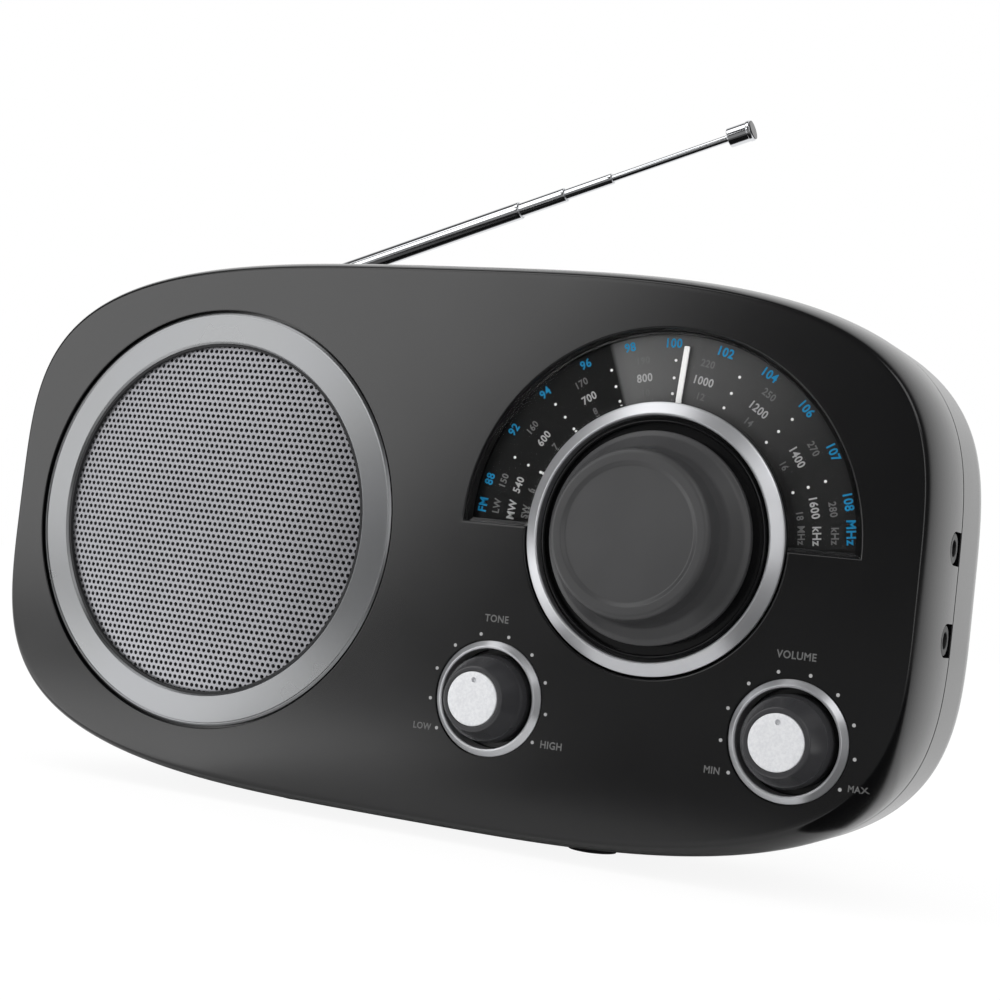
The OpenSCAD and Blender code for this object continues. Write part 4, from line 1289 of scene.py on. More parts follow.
# ---------------------------------------------------------------- loudspeaker
@dataclass
class Loudspeaker:
    """The trim ring and the domed punched grille in it. The driver behind them is shown as it is.

    Attributes:
        housing: The cabinet, for the panel's place.
        ring_in_r: Inner radius of the trim ring.
        rim_gap: How far the ring stays inside its seat.
        bead: The ring's outer bead, as (in from the rim, depth, edge radius).
        lip: The ring's inner edge, as (out from the inner radius, depth, edge radius).
        flange_w: Width of the ring's foot.
        seat: Depth of the ring's seat.
        sheet: Thickness of the grille.
        cover: How far the perforated field reaches under the ring.
        sheet_r: Outer radius of the grille's flat rim.
        lap: How far that rim reaches in under the perforated field.
        dome: Height of the grille's bulge.
        dome_power: The higher, the flatter the bulge and the steeper its rim.
        pitch: Distance of the holes.
        hole_r: Radius of a hole.
        hole_sides: Sides of a hole.
        gasket_w: Width of the black gasket, which paints the shade at the grille's rim.
        gasket_depths: Depths of the gasket's front and back.
    """

    housing: Housing
    ring_in_r: float = 43.0
    rim_gap: float = 0.2
    bead: Corners = ((0.0, 0.6, 0.1), (0.6, 0.25, 0.2), (1.0, 0.45, 0.1))
    lip: Corners = ((0.5, -0.1, 0.2), (0.0, 0.4, 0.15))
    flange_w: float = 4.0
    seat: float = 2.4
    sheet: float = 0.8
    cover: float = 0.3
    sheet_r: float = 46.8
    lap: float = 0.8
    dome: float = 1.8
    dome_power: int = 4
    pitch: float = 1.466
    hole_r: float = 0.5
    hole_sides: int = 12
    gasket_w: float = 0.6
    gasket_depths: Point = (0.45, 1.75)

    def trim_ring(self) -> None:
        """Turned ring: narrow outer bead, a face that leans outwards and a small inner chamfer."""
        ring = Extent.of("speaker_trim_ring")
        out, low, face = ring.size.x / 2 - self.rim_gap, self.ring_in_r, self.housing.face
        back = self.seat - self.sheet
        profile = rounded((
            (out, back), *((out - by, t, r) for by, t, r in self.bead),
            *((low + by, t, r) for by, t, r in self.lip), (low, back),
        ))
        flange = [(out - self.flange_w, back), (out - self.flange_w, self.seat), (out, self.seat)]
        make("trim_ring", turned(profile + flange, 256), ANODISED, stands_for=["speaker_trim_ring"],
             origin=(ring.middle.x, face, ring.middle.z), evened=True)

    def bulge(self, share: float) -> float:
        """Height of the grille's bulge at a share of its radius."""
        return self.dome * max(0.0, 1 - share ** self.dome_power)

    def grille(self) -> None:
        """Domed sheet with small round holes in rows offset by half a hole, made cell by cell."""
        ring = Extent.of("speaker_trim_ring").middle
        front, back = self.seat - self.sheet, self.seat
        reach = self.ring_in_r + self.cover
        rows = int(reach / self.pitch) + 1
        half, n = self.pitch / 2, self.hole_sides
        square = []
        for k in range(n):
            turn = 2 * math.pi * k / n + math.pi / 4
            c, s = math.cos(turn), math.sin(turn)
            far = half / max(abs(c), abs(s))
            square.append((far * c, far * s, self.hole_r * c, self.hole_r * s))
        sheet = Shape()
        for j in range(-rows, rows + 1):
            for i in range(-rows, rows + 1):
                x, z = (i + 0.5 * (j % 2)) * self.pitch, j * self.pitch
                if math.hypot(x, z) > reach:
                    continue
                cell = [(x + ox, front, z + oz) for ox, oz, _, _ in square]
                cell += [(x + ix, front, z + iz) for _, _, ix, iz in square]
                cell += [(x + ix, back, z + iz) for _, _, ix, iz in square]
                cell += [(x + ox, back, z + oz) for ox, oz, _, _ in square]
                sheet.add(Shape([(a, t - self.bulge(math.hypot(a, b) / reach), b) for a, t, b in cell], [
                    (m * n + k, m * n + (k + 1) % n, (m + 1) * n + (k + 1) % n, (m + 1) * n + k)
                    for m in range(3)
                    for k in range(n)
                ]))
        low, out, top = reach - self.lap, self.sheet_r, front + PLAY
        flange = turned([(low, top), (out, top), (out, back), (low, back)], 96)
        make("grille", sheet.add(flange), PUNCHED, stands_for=["speaker_grille"],
             origin=(ring.x, self.housing.face, ring.z), flat=True)

    def gasket(self) -> None:
        """Black foam ring in the joint of the grille and the trim ring. Its black is painted shade, where
        the ring's inner edge shades the grille's rim.
        """
        ring = Extent.of("speaker_trim_ring").middle
        low, out = self.ring_in_r - self.gasket_w, self.ring_in_r - PLAY
        front, back = self.gasket_depths
        band = turned([(low, front), (out, front), (out, back), (low, back)], 192)
        # Its black paints the shade that the trim ring casts on the grille's rim
        make("grille_gasket", band, SURROUND, origin=(ring.x, self.housing.face, ring.z))

    def build(self) -> None:
        """Makes the pieces."""
        self.trim_ring()
        self.grille()
        self.gasket()


# ---------------------------------------------------------------- lettering
@dataclass(frozen=True)
class Label:
    """A short text in a plane that faces the front.

    Attributes:
        text: What it says.
        at: Its middle, right and up from the plane's centre.
        turn: Degrees that it is turned anticlockwise.
        cap: Height of its capitals.
        ink: Its ink.
    """

    text: str
    at: Point
    turn: float
    cap: float
    ink: Finish


@dataclass
class Printer:
    """Lays labels and dots on a plane as thin ink, joined by ink.

    Attributes:
        name: The start of the pieces' names.
        centre: The plane's centre.
        body: The body that the print rides on.
        thickness: Thickness of the ink.
        narrow: Width of the letters, where 1 is the typeface's own.
        boldness: How far the strokes are widened, by the typeface's size.
        spacing: Distance of the letters, where 1 is the typeface's own.
        fold: Distance of the folds in print that is bent over the edge.
        housing: The housing whose rounded edge the print follows, where it may run past the flat panel.
        inks: The shapes of each ink so far.
    """

    name: str
    centre: Vector
    body: str = "cabinet"
    thickness: float = 0.03
    narrow: float = 0.92
    boldness: float = 0.022
    spacing: float = 1.08
    fold: float = 0.2
    housing: Housing | None = None
    inks: dict[Finish, Shape] = field(default_factory=dict)

    def letters(self, text: str) -> Shape:
        """A text as a solid shape.

        Args:
            text: The text.

        Returns:
            A shape 1 high and 1 thick, about its middle in the X and Y plane.
        """
        curve = bpy.data.curves.new("text", "FONT")
        curve.body, curve.align_x, curve.align_y = text, "CENTER", "CENTER"
        curve.resolution_u, curve.offset, curve.extrude = 3, self.boldness, 0.5
        curve.space_character = self.spacing
        obj = bpy.data.objects.new("text", curve)
        bpy.context.scene.collection.objects.link(obj)
        solid = evaluated(obj)
        lows, highs = (Vector(map(pick, *solid.points)) for pick in (min, max))
        size, middle = 1 / (highs - lows).y, (lows + highs) / 2
        return solid.put(Matrix.Diagonal((size, size, 1, 1)) @ Matrix.Translation(-middle))

    def put(self, ink: Finish, shape: Shape) -> None:
        """Adds a shape to an ink."""
        self.inks.setdefault(ink, Shape()).add(shape)

    def label(self, label: Label) -> None:
        """Lays a label as raised ink.

        Args:
            label: Its text, place, turn, capital height and ink.
        """
        place = (
            Matrix.Translation((label.at[0], -self.thickness / 2, label.at[1]))
            @ Matrix.Rotation(math.radians(-label.turn), 4, "Y")
            @ UPRIGHT
            @ Matrix.Diagonal((label.cap * self.narrow, label.cap, self.thickness, 1))
        )
        self.put(label.ink, self.letters(label.text).put(place))

    def dot(self, at: Point, radius: float, ink: Finish) -> None:
        """Lays a round dot."""
        self.put(ink, rod(radius, -self.thickness, 0.0, 16).at(at[0], 0, at[1]))

    def laid(self, shape: Shape) -> Shape:
        """A shape bent back onto the housing's rounded edge where it runs past the flat panel.

        Args:
            shape: Print laid on the flat panel.

        Returns:
            The bent shape, or the same one where all of it is on the flat panel.
        """
        if self.housing is None:
            return shape

        def depth(point: Sequence[float]) -> float:
            """How far the skin lies behind the panel at a point."""
            return self.housing.edge_depth(self.centre.x + point[0], self.centre.z + point[2])

        past = [point[0] for point in shape.points if depth(point) > 0]
        if not past:
            return shape
        bm = shape.bmesh()
        for k in range(int((max(past) - min(past)) / self.fold) + 1):
            bmesh.ops.bisect_plane(
                bm, geom=[*bm.verts, *bm.edges, *bm.faces], dist=1e-5,
                plane_co=(min(past) + k * self.fold, 0, 0), plane_no=(1, 0, 0),
            )
        bm.verts.index_update()
        bent = Shape(
            [(v.co.x, v.co.y + depth(v.co), v.co.z) for v in bm.verts],
            [tuple(v.index for v in face.verts) for face in bm.faces],
        )
        bm.free()
        return bent

    def build(self) -> None:
        """Makes one piece for each ink."""
        for ink, shape in self.inks.items():
            name = f"{self.name}_{ink.name}"
            make(name, self.laid(shape), ink, self.body, origin=self.centre, flat=True)


# ---------------------------------------------------------------- tuning scale
@dataclass
class TuningScale:
    """The printed scale, its window and what turns in front of it. Angles are degrees from the right.

    Attributes:
        housing: The cabinet, for the panel's place.
        plate_depths: Depths of the scale's front and back.
        plate_rim: Radius, start and end of the scale's outer arc.
        plate_inner: Radius, start and end of its lower arc.
        shaft_hole_r: Radius of its hole for the shaft.
        window_r: Radius of the window.
        window_depths: Depths of the window's front and back.
        window_edge: Radius of the window's edges.
        hub_r: Inner radius of the window, round the turning parts.
        lift: Height of the window's lower ends over the centre.
        border_w: Width of the dark border on the window's back.
        border_depths: Depths of the border's front and back.
        border_gap: How far the border stays inside the window's edge.
        clear_lift: How far the clear field inside the border is moved up.
        clear_end: Half of the clear field's width at its lower end, and how far down that is drawn.
        dot_r: Radius of a dot.
        dot_radii: Radii of the rows of dots.
        dot_angles: Angles of the dots.
        bezel: Profile of the silver ring.
        disc: Profile of the black disc that carries the needle.
        needle: Width, length and corner radius of the needle.
        needle_from: Where it starts on its radius.
        needle_depths: Depths of its front and back.
        needle_edge: Radius of its edges.
        needle_turn: How far it is turned at rest, clockwise from upright.
        rim_steps: Pieces in the window's outer arc.
        hub_steps: Pieces in the window's lower arc.
    """

    housing: Housing
    plate_depths: Point = (3.1, 4.1)
    plate_rim: Vec = (49.0, -3.51, 183.51)
    plate_inner: Vec = (33.0, 185.2, 354.8)
    shaft_hole_r: float = 4.2
    window_r: float = 46.05
    window_depths: Point = (0.2, 1.4)
    window_edge: float = 0.12
    hub_r: float = 30.6
    lift: float = 0.15
    border_w: float = 1.3
    border_depths: Point = (1.45, 1.65)
    border_gap: float = 0.1
    clear_lift: float = 0.9
    clear_end: Point = (50.6, 4.0)
    dot_r: float = 0.33
    dot_radii: tuple[float, ...] = (39.6, 35.7, 32.2)
    dot_angles: tuple[float, ...] = (157.0, 134.6, 112.3, 90.0, 67.7, 45.5, 23.2)
    bezel: Corners = (
        (30.0, 0.9), (30.0, 0.0, 0.2), (29.5, -0.3, 0.3), (27.3, -1.6, 0.3), (26.9, -1.35, 0.15),
        (26.9, 0.9),
    )
    disc: Corners = (
        (3.02, 0.9), (25.2, 0.9), (25.3, -0.55, 0.15), (25.7, -0.9, 0.18), (26.1, -0.55, 0.15),
        (26.2, 0.9), (29.7, 0.9), (29.7, 2.1), (3.02, 2.1),
    )
    needle: Vec = (1.3, 30.8, 0.3)
    needle_from: float = 12.0
    needle_depths: Point = (2.1, 2.6)
    needle_edge: float = 0.12
    needle_turn: float = 3.5
    rim_steps: int = 150
    hub_steps: int = 120
    centre: Vector = field(init=False)

    def __post_init__(self) -> None:
        """Takes the scale's centre from the frame."""
        self.centre = Extent.of("tuning_ring").middle

    def rows(self) -> list[tuple[float, float, Finish, list[tuple[str, float]]]]:
        """The print of the four wave bands.

        Returns:
            Radius, capital height and ink of each band, and its texts with their angles.
        """
        return [
            (43.4, 2.1, BLUE_INK, [
                ("FM", 174.5), ("88", 166.5), ("92", 149.8), ("94", 135.0), ("96", 119.7), ("98", 104.9),
                ("100", 91.0), ("102", 74.7), ("104", 59.7), ("106", 44.9), ("107", 30.1), ("108", 15.5),
                ("MHz", 7.0),
            ]),
            (39.9, 1.7, DIM_INK, [
                ("LW", 174.0), ("150", 165.3), ("160", 145.4), ("170", 123.3), ("190", 101.0),
                ("220", 79.2), ("250", 56.4), ("270", 34.0), ("280", 14.3), ("kHz", 6.1),
            ]),
            (36.0, 1.9, GREY_INK, [
                ("MW", 174.2), ("540", 165.0), ("600", 145.7), ("700", 123.2), ("800", 101.1),
                ("1000", 78.8), ("1200", 55.9), ("1400", 34.1), ("1600", 15.7), ("kHz", 6.2),
            ]),
            (32.6, 1.6, DIM_INK, [
                ("SW", 174.0), ("6", 165.2), ("7", 145.0), ("8", 123.3), ("10", 101.0), ("12", 78.2),
                ("14", 56.0), ("16", 33.8), ("18", 13.8), ("MHz", 6.6),
            ]),
        ]

    def board(self, middle: Vec) -> None:
        """Makes the scale's board and lays its print.

        Args:
            middle: Origin of the pieces, on the dial's axis.
        """
        front, back = self.plate_depths
        sides = arc(*self.plate_rim, 128) + arc(*self.plate_inner, 96)
        hole = rod(self.shaft_hole_r, front - PROUD, back + PROUD)
        board = combined(slab(sides, [(front, 0), (back, 0)]), Join.CUT, [hole])
        # The board's ground carries the painted reflection of the window
        make("scale_board", board, SCALE_GROUND_PAINTED_REFLECTION, stands_for=["scale_plate"], origin=middle, flat=True)
        printer = Printer("scale_print", Vector((middle[0], middle[1] + front, middle[2])))
        for radius, cap, ink, texts in self.rows():
            for text, angle in texts:
                printer.label(Label(text, polar(radius, angle), angle - 90, cap, ink))
        for radius in self.dot_radii:
            for angle in self.dot_angles:
                printer.dot(polar(radius, angle), self.dot_r, WHITE_INK)
        printer.build()

    def window_outline(self, radius: float) -> list[Point]:
        """The half-round outline of the window.

        Args:
            radius: Radius of the upper arc.

        Returns:
            The upper arc and the lower one, which runs round the turning parts.
        """
        high, low = (math.degrees(math.asin(self.lift / r)) for r in (self.window_r, self.hub_r))
        rim = arc(radius, high, 180 - high, self.rim_steps)
        return rim + arc(self.hub_r, 180 - low, low, self.hub_steps)

    def window(self, middle: Vec) -> None:
        """Makes the window and the dark border on its back.

        Args:
            middle: Origin of the pieces, on the dial's axis.
        """
        lens = slab(self.window_outline(self.window_r), soft_edges(*self.window_depths, self.window_edge))
        make("scale_window", lens, ACRYLIC, stands_for=["scale_lens"], origin=middle, flat=True)
        (front, back), (far, drop) = self.border_depths, self.clear_end
        clear = arc(self.window_r - self.border_w, 0, 180, self.rim_steps) + [(-far, -drop), (far, -drop)]
        clear = [(x, z + self.clear_lift) for x, z in clear]
        border = slab(self.window_outline(self.window_r - self.border_gap), [(front, 0), (back, 0)])
        border = combined(border, Join.CUT, [slab(clear, [(front - PROUD, 0), (back + PROUD, 0)])])
        make("window_border", border, BLACK_INK, origin=middle, flat=True)

    def build(self) -> None:
        """Makes the board, its print, the window, the needle and the ring and disc round the knob."""
        middle = (self.centre.x, self.housing.face, self.centre.z)
        self.board(middle)
        self.window(middle)
        ring, disc = turned(rounded(self.bezel), 256), turned(rounded(self.disc), 256)
        make("tuning_bezel", ring, METALLISED, "tuning", ["tuning_ring"], middle, evened=True)
        make("needle_disc", disc, GLOSS_ABS, "tuning", ["needle_hub"], middle, evened=True)
        bar = slab(plain_box(*self.needle), soft_edges(*self.needle_depths, self.needle_edge))
        turn = Matrix.Rotation(math.radians(self.needle_turn), 4, "Y")
        bar = bar.at(0, 0, self.needle_from + self.needle[1] / 2).put(turn)
        make("needle", bar, NEEDLE, "tuning", ["scale_needle"], middle)


@dataclass
class TuningKnob:
    """The large satin knob.

    Attributes:
        housing: The cabinet, for the panel's place.
        profile: Its shallow dish in front, its upright grip and its flared foot.
    """

    housing: Housing
    profile: Corners = (
        (0, -13.7), (14.6, -13.7, 0.8), (15.5, -14.25, 0.6), (18.2, -14.3, 1.3), (18.7, -8.8, 6.0),
        (19.6, -5.9, 3.0), (22.2, -3.1, 2.5), (23.4, -2.6, 0.5), (23.4, -1.4, 0.2), (22.4, 0.9), (0, 0.9),
    )

    def build(self) -> None:
        """Makes the piece."""
        ring = Extent.of("tuning_ring").middle
        knob = turned(rounded(self.profile, 8), 256)
        make("tuning_knob_cover", knob, SATIN_ABS, "tuning", ["tuning_knob"],
             (ring.x, self.housing.face, ring.z), evened=True)


@dataclass
class SmallKnob:
    """The tone or the volume knob with its bezel, disc and panel print.

    Attributes:
        housing: The cabinet, for the panel's place and its rounded edge.
        name: The body's name.
        title: The word over the knob.
        ends: The words at the ends of its turn.
        ring: Profile of the silver bezel.
        knob: Profile of the knob.
        disc: Profile of the pale disc in it.
        dimple: Radius of the disc's dimple, its distance from the axis, and its cutter's two ends.
        dots: Angles of the dots, from the top to both sides.
        dots_r: Radius of the row of dots.
        dot_r: Radius of a dot.
        title_up: How far the title stands over the row of dots.
        title_cap: Height of the title's capitals.
        low_off: How far the left word stands off the last dot.
        low_cap: Height of its capitals.
        end_off: How far the right word stands off the last dot.
        end_up: How far it stands over that dot.
        end_cap: Height of its capitals.
    """

    housing: Housing
    name: str
    title: str
    ends: tuple[str, str]
    ring: Corners = (
        (11.85, 4.0), (11.2, 4.0), (11.2, -0.9, 0.25), (11.75, -0.95, 0.25), (13.0, 0.15, 0.1),
        (13.0, 0.6), (11.85, 0.6),
    )
    knob: Corners = (
        (0, -7.3), (6.15, -7.3), (6.15, -8.0, 0.15), (7.2, -8.0, 0.5), (9.35, -3.2, 3.0),
        (9.9, -0.6, 1.0), (9.9, 3.8), (0, 3.8),
    )
    disc: Corners = ((0, -7.3), (0, -8.12), (4.0, -8.16), (6.05, -8.2, 0.3), (6.05, -7.3))
    dimple: tuple[float, ...] = (0.6, 4.2, -10.0, -7.4)
    dots: tuple[float, ...] = (13.8, 41.4, 69.0, 96.6, 124.2)
    dots_r: float = 14.6
    dot_r: float = 0.4
    title_up: float = 3.4
    title_cap: float = 1.7
    low_off: float = 3.7
    low_cap: float = 1.55
    end_off: float = 4.6
    end_up: float = -0.1
    end_cap: float = 1.7

    def build(self) -> None:
        """Makes the bezel, knob, disc and print."""
        bezel = Extent.of(f"{self.name}_bezel").middle
        origin = (bezel.x, self.housing.face, bezel.z)
        make(f"{self.name}_ring", turned(rounded(self.ring), 160), METALLISED, "cabinet",
             [f"{self.name}_bezel"], origin, evened=True)
        make(f"{self.name}_knob_cover", turned(rounded(self.knob, 6), 160), SHEEN_ABS, self.name,
             [f"{self.name}_knob"], origin, evened=True)
        radius, up, start, end = self.dimple
        dimple = rod(radius, start, end, 24).at(0, 0, up)
        disc = combined(turned(rounded(self.disc), 160), Join.CUT, [dimple])
        make(f"{self.name}_disc", disc, SILVER, self.name, [f"{self.name}_cap"], origin, evened=True)
        self.panel_print(origin)

    def panel_print(self, origin: Vec) -> None:
        """Lays the dots and the words round the knob.

        Args:
            origin: Origin of the print, on the knob's axis.
        """
        printer = Printer(f"{self.name}_print", Vector(origin), housing=self.housing)
        for off in self.dots:
            for side in (-1, 1):
                printer.dot(polar(self.dots_r, 90 + side * off), self.dot_r, GREY_INK)
        x, z = polar(self.dots_r, 90 - self.dots[-1])
        for label in (
            Label(self.title, (0, self.dots_r + self.title_up), 0, self.title_cap, DIM_INK),
            Label(self.ends[0], (-x - self.low_off, z), 0, self.low_cap, DIM_INK),
            Label(self.ends[1], (x + self.end_off, z + self.end_up), 0, self.end_cap, DIM_INK),
        ):
            printer.label(label)
        printer.build()


# ---------------------------------------------------------------- aerial
@dataclass
class Aerial:
    """The chromed telescopic aerial. Its tubes are made along Y and turned to their place.

    Attributes:
        angle: Degrees that it stands up from level at rest.
        radius: Radius of the thickest tube.
        step: How much thinner each section is than the one before it.
        tube_wall: Thickness of a tube's wall at its mouth.
        neck: Length of a tube's end over which its mouth is turned.
        tip_r: Radius of the tip's rim.
        tip_rim: Where the rim's slope starts and ends and where the rim ends, back from the tip's face.
        tip_neck_r: Radius of the tip behind its rim.
        tip_bore_r: Radius of the tip's bore for the rod.
        tip_bore_d: Depth of that bore.
        tip_face_r: Radius of the tip's flat face.
        tip_l: Length of the tip.
        pad_r: Radius of the black pad on the tip, which paints the dark reflection of the chrome end.
        pad_t: Thickness of the pad.
        pad_out: How far the pad stands out of the tip.
        pin: The pivot.
        turn: The turn from Y to the aerial's direction.
    """

    angle: float = 18.9
    radius: float = 2.25
    step: float = 0.44
    tube_wall: float = 0.38
    neck: float = 1.2
    tip_r: float = 2.55
    tip_rim: Vec = (1.2, 1.1, 0.3)
    tip_neck_r: float = 2.4
    tip_bore_r: float = 0.95
    tip_bore_d: float = 1.02
    tip_face_r: float = 2.1
    tip_l: float = 6.3
    pad_r: float = 2.3
    pad_t: float = 0.3
    pad_out: float = 0.1
    pin: Vector = field(init=False)
    turn: Matrix = field(init=False)

    def __post_init__(self) -> None:
        """Takes the pivot from the frame."""
        self.pin = Extent.of("aerial_pin").middle
        a = math.radians(self.angle)
        along = Vector((math.cos(a), 0, math.sin(a)))
        self.turn = Vector((0, 1, 0)).rotation_difference(along).to_matrix().to_4x4()

    def span(self, node: str, radius: float) -> Point:
        """Where a round section starts and ends along the aerial.

        Args:
            node: The CAD node of the section.
            radius: Its radius.

        Returns:
            Distances of its start and its end from the pin.
        """
        box, a = Extent.of(node), math.radians(self.angle)
        over = radius * math.sin(a)
        return (
            (box.low.x + over - self.pin.x) / math.cos(a),
            (box.high.x - over - self.pin.x) / math.cos(a),
        )

    def place(self, name: str, shape: Shape, node: str, body: str) -> None:
        """Turns a shape to the aerial's direction and makes the piece."""
        make(name, shape.put(self.turn), CHROME, body, [node], self.pin, evened=True)

    def build(self) -> None:
        """Makes the three tubes, the rod and the tip."""
        for k, body in enumerate(("aerial_arm", "aerial_2", "aerial_3")):
            r = self.radius - k * self.step
            start, end = self.span(f"aerial_tube_{k + 1}", r)
            inner = r - self.tube_wall
            tube = rounded((
                (r, start, 0.1), (r, end - self.neck), (r, end, 0.25), (inner, end, 0.1), (inner, start),
            ))
            self.place(f"tube_{k + 1}", turned(tube, 64), f"aerial_tube_{k + 1}", body)
        r = self.radius - 3 * self.step
        start, end = self.span("aerial_rod", r)
        inner_rod = turned([(0, start), (r, start), (r, end), (0, end)], 48)
        self.place("inner_rod", inner_rod, "aerial_rod", "aerial_4")
        self.tip()

    def tip(self) -> None:
        """Makes the button on the rod's end and its black pad, a painted dark reflection on the end face."""
        _, end = self.span("aerial_tip", self.tip_r)
        start, low = end - self.tip_l, end - self.pad_t
        pad = turned([(0, low), (self.pad_r, low), (self.pad_r, end), (0, end)], 64).put(self.turn)
        # The black pad paints the dark reflection of the tip's chrome end
        make("tip_pad", pad, GLOSS_ABS, "aerial_4", origin=self.pin)
        end -= self.pad_out
        bore, floor, neck = self.tip_bore_r, start + self.tip_bore_d, self.tip_neck_r
        slope, rim, front = (end - back for back in self.tip_rim)
        button = rounded((
            (bore, start), (neck, start, 0.25), (neck, slope, 0.1), (self.tip_r, rim, 0.1),
            (self.tip_r, front, 0.25), (self.tip_face_r, end, 0.3), (0, end), (0, floor), (bore, floor),
        ))
        self.place("tip_button", turned(button, 96), "aerial_tip", "aerial_4")


# ---------------------------------------------------------------- the rest
def dress_nodes() -> None:
    """Gives the CAD nodes that are shown as they are their finishes."""
    for finish, nodes in DRESSED.items():
        for name in nodes:
            node = bpy.data.objects[name]
            node.data.materials.clear()
            node.data.materials.append(finish.material())


@dataclass
class Studio:
    """Camera, lights, backdrop and floor.

    Attributes:
        place: Where the camera stands, in millimetres.
        azimuth: Degrees that it stands to the right of the front.
        elevation: Degrees that it stands over the level.
        roll: Degrees that it is rolled.
        lens: Its focal length.
        fill: Strength of the world's light.
        room: How bright the room on the camera's side is in mirror images.
        room_edge: Where along Y the room turns into the backdrop, as parts of the view's direction.
        floor_side: Side of the floor, in metres.
        floor_glow: Radiance of the floor's own glow to the camera.
        floor_share: Share of that glow in what the camera sees, the rest being the lit floor.
        card_lift: How far the cards lie over the floor, in metres.
    """

    place: Vec = (206.54, -403.11, 59.99)
    azimuth: float = 26.196
    elevation: float = -2.492
    roll: float = 6.433
    lens: float = 67.09
    fill: float = 0.9
    room: float = 0.08
    room_edge: Point = (0.12, 0.55)
    floor_side: float = 8.0
    floor_glow: float = 1.06
    floor_share: float = 0.85
    card_lift: float = 0.0005

    def camera(self) -> None:
        """The camera, slightly below the middle of the panel and to its right."""
        az, el, roll = (math.radians(v) for v in (self.azimuth, self.elevation, self.roll))
        back = Vector((math.sin(az) * math.cos(el), -math.cos(az) * math.cos(el), math.sin(el)))
        level = Vector((math.cos(az), math.sin(az), 0))
        upright = back.cross(level)
        right = level * math.cos(roll) + upright * math.sin(roll)
        data = bpy.data.cameras.new("camera")
        data.lens, data.sensor_width, data.clip_start = self.lens, 36.0, 0.01
        camera = bpy.data.objects.new("camera", data)
        axes = Matrix((right, back.cross(right), back)).transposed().to_4x4()
        camera.matrix_world = Matrix.Translation(Vector(self.place) * MM) @ axes
        bpy.context.scene.collection.objects.link(camera)
        bpy.context.scene.camera = camera

    @staticmethod
    def softbox(
        name: str, place: Vec, size: Point, radiance: float, aim: Vec = (0, 0, 0.07), turn: float = 0.0
    ) -> None:
        """An area light of a plain radiance.

        Args:
            name: The light's name.
            place: Where it hangs, in metres.
            size: Its two sides, in metres.
            radiance: Its radiance, where 1 is the white of the backdrop.
            aim: The point that it faces, in metres: the middle of the cabinet, unless it is given.
            turn: Degrees that it is turned in its own plane.
        """
        data = bpy.data.lights.new(name, "AREA")
        data.shape, data.size, data.size_y = "RECTANGLE", size[0], size[1]
        data.energy = radiance * math.pi * size[0] * size[1]
        light = bpy.data.objects.new(name, data)
        facing = (Vector(aim) - Vector(place)).to_track_quat("-Z", "Y").to_matrix().to_4x4()
        in_plane = Matrix.Rotation(math.radians(turn), 4, "Z")
        light.matrix_world = Matrix.Translation(place) @ facing @ in_plane
        bpy.context.scene.collection.objects.link(light)

    def backdrop(self) -> None:
        """A white world behind the set, and a dim room on the camera's side of it for reflections."""
        world = bpy.data.worlds.new("backdrop")
        bpy.context.scene.world = world
        world.use_nodes = True
        tree = world.node_tree
        tree.nodes.clear()
        way = add_node(tree, "SeparateXYZ", None, Vector=add_node(tree, "TexCoord").outputs["Generated"])
        mirrored = add_node(
            tree, "MapRange",
            {"interpolation_type": "SMOOTHSTEP", "To Min": self.room, "To Max": 1.0,
             "From Min": self.room_edge[0], "From Max": self.room_edge[1]},
            Value=way.outputs["Y"],
        )
        ray = add_node(tree, "LightPath")
        bent = add_node(
            tree, "Math", {"operation": "MAXIMUM"},
            in0=ray.outputs["Is Glossy Ray"], in1=ray.outputs["Is Transmission Ray"],
        )
        level = add_node(
            tree, "MapRange", {"To Min": self.fill},
            Value=bent.outputs["Value"], To_Max=mirrored.outputs["Result"],
        )
        shown = add_node(
            tree, "MapRange", {"To Max": 1.0},
            Value=ray.outputs["Is Camera Ray"], To_Min=level.outputs["Result"],
        )
        light = add_node(
            tree, "Background", {"Color": (1.0, 1.0, 1.0, 1.0)}, Strength=shown.outputs["Result"]
        )
        add_node(tree, "OutputWorld", None, Surface=light.outputs["Background"])

    @staticmethod
    def sheet(
        name: str, material: str, low: Point, high: Point, lift: float
    ) -> tuple[bpy.types.Object, bpy.types.NodeTree]:
        """Lays a flat sheet on the stage.

        Args:
            name: Its name.
            material: Its material's name.
            low: Its low corner, in metres.
            high: Its high corner, in metres.
            lift: Its height, in metres.

        Returns:
            The sheet, and the empty node tree of its material.
        """
        mesh = bpy.data.meshes.new(name)
        corners = [(low[0], low[1]), (high[0], low[1]), (high[0], high[1]), (low[0], high[1])]
        mesh.from_pydata([(x, y, lift) for x, y in corners], [], [(0, 1, 2, 3)])
        mat = bpy.data.materials.new(material)
        mat.use_nodes = True
        mat.node_tree.nodes.clear()
        mesh.materials.append(mat)
        sheet = bpy.data.objects.new(name, mesh)
        bpy.context.scene.collection.objects.link(sheet)
        return sheet, mat.node_tree

    def floor(self) -> None:
        """A pale floor that reads as the white backdrop and keeps a soft shadow."""
        side = self.floor_side / 2
        _, tree = self.sheet("floor", "pale_floor_paint", (-side, -side), (side, side), 0.0)
        ray = add_node(tree, "LightPath")
        paint = add_node(tree, "BsdfDiffuse", {"Color": (0.8, 0.8, 0.8, 1.0)})
        glow = add_node(tree, "Emission", {"Strength": self.floor_glow})
        seen = add_node(
            tree, "MixShader", {"Fac": self.floor_share},
            in1=paint.outputs["BSDF"], in2=glow.outputs["Emission"],
        )
        mixed = add_node(
            tree, "MixShader", None,
            in0=ray.outputs["Is Camera Ray"], in1=paint.outputs["BSDF"], in2=seen.outputs["Shader"],
        )
        add_node(tree, "OutputMaterial", None, Surface=mixed.outputs["Shader"])

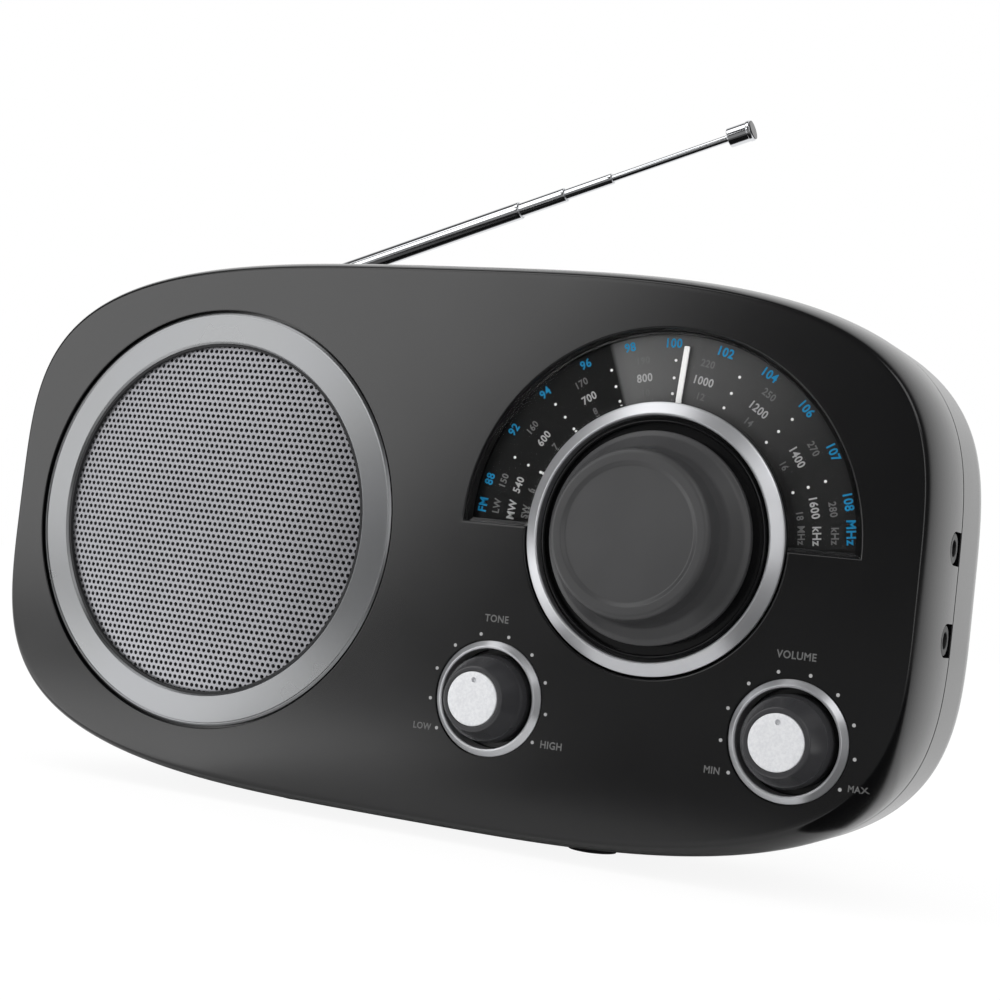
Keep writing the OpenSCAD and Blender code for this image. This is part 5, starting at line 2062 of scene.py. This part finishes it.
    def card(self, name: str, low: Point, high: Point, level: float) -> None:
        """A card that lies on the floor and that only mirror images see.

        Args:
            name: The card's name.
            low: Its low corner, in metres.
            high: Its high corner, in metres.
            level: Its radiance, where 1 is the white of the backdrop.
        """
        card, tree = self.sheet(name, f"{name}_paper", low, high, self.card_lift)
        glow = add_node(tree, "Emission", {"Strength": level})
        add_node(tree, "OutputMaterial", None, Surface=glow.outputs["Emission"])
        for ray in ("camera", "diffuse", "shadow", "transmission"):
            setattr(card, f"visible_{ray}", False)

    def build(self) -> None:
        """Sets the stage."""
        bpy.context.scene.view_settings.view_transform = "Standard"
        self.backdrop()
        self.floor()
        # Its lower right edge runs aslant, and its soft mirror image shades the panel
        key_aim = (-0.003, -0.182, -0.214)
        self.softbox("key_left", (-0.793, -0.847, 0.162), (0.6, 1.1), 2.1, key_aim, -34.5)
        self.softbox("top", (-0.45, -0.5, 0.95), (0.6, 0.6), 1.8)
        self.softbox("fill_right", (0.8, -0.6, 0.9), (0.6, 0.6), 1.6)
        self.softbox("edge_right", (0.78, -1.08, 0.15), (0.5, 0.9), 1.4)
        # Flat cards that only mirror images see: they shade the polished panel, the ring and the side
        self.card("white_card_rear", (-1.5, 0.06), (1.5, 3.0), 1.0)
        self.card("white_card_front", (-0.6, -0.25), (-0.08, -0.06), 2.2)
        self.card("black_card_far", (-2.0, -4.0), (2.0, -0.26), 0.25)
        self.card("black_card_front", (-0.05, -0.26), (1.0, -0.12), 0.08)
        self.card("black_card_right", (0.1, -0.12), (1.0, 0.03), 0.02)


def main() -> None:
    """Builds the studio and then the receiver, piece by piece."""
    logging.basicConfig(level=logging.INFO, format="%(name)s: %(message)s")
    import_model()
    studio = Studio()
    studio.camera()
    housing = Housing()
    FrontHalf(housing).build()
    RearHalf(housing).build()
    Sockets(housing).build()
    Loudspeaker(housing).build()
    TuningScale(housing).build()
    TuningKnob(housing).build()
    SmallKnob(housing, "tone", "TONE", ("LOW", "HIGH")).build()
    # The word at the right runs over the rounded edge, so it is smaller and nearer
    SmallKnob(housing, "volume", "VOLUME", ("MIN", "MAX"), end_off=3.65, end_up=0.5, end_cap=1.4).build()
    Aerial().build()
    dress_nodes()
    studio.build()


if __name__ == "__main__":
    main()
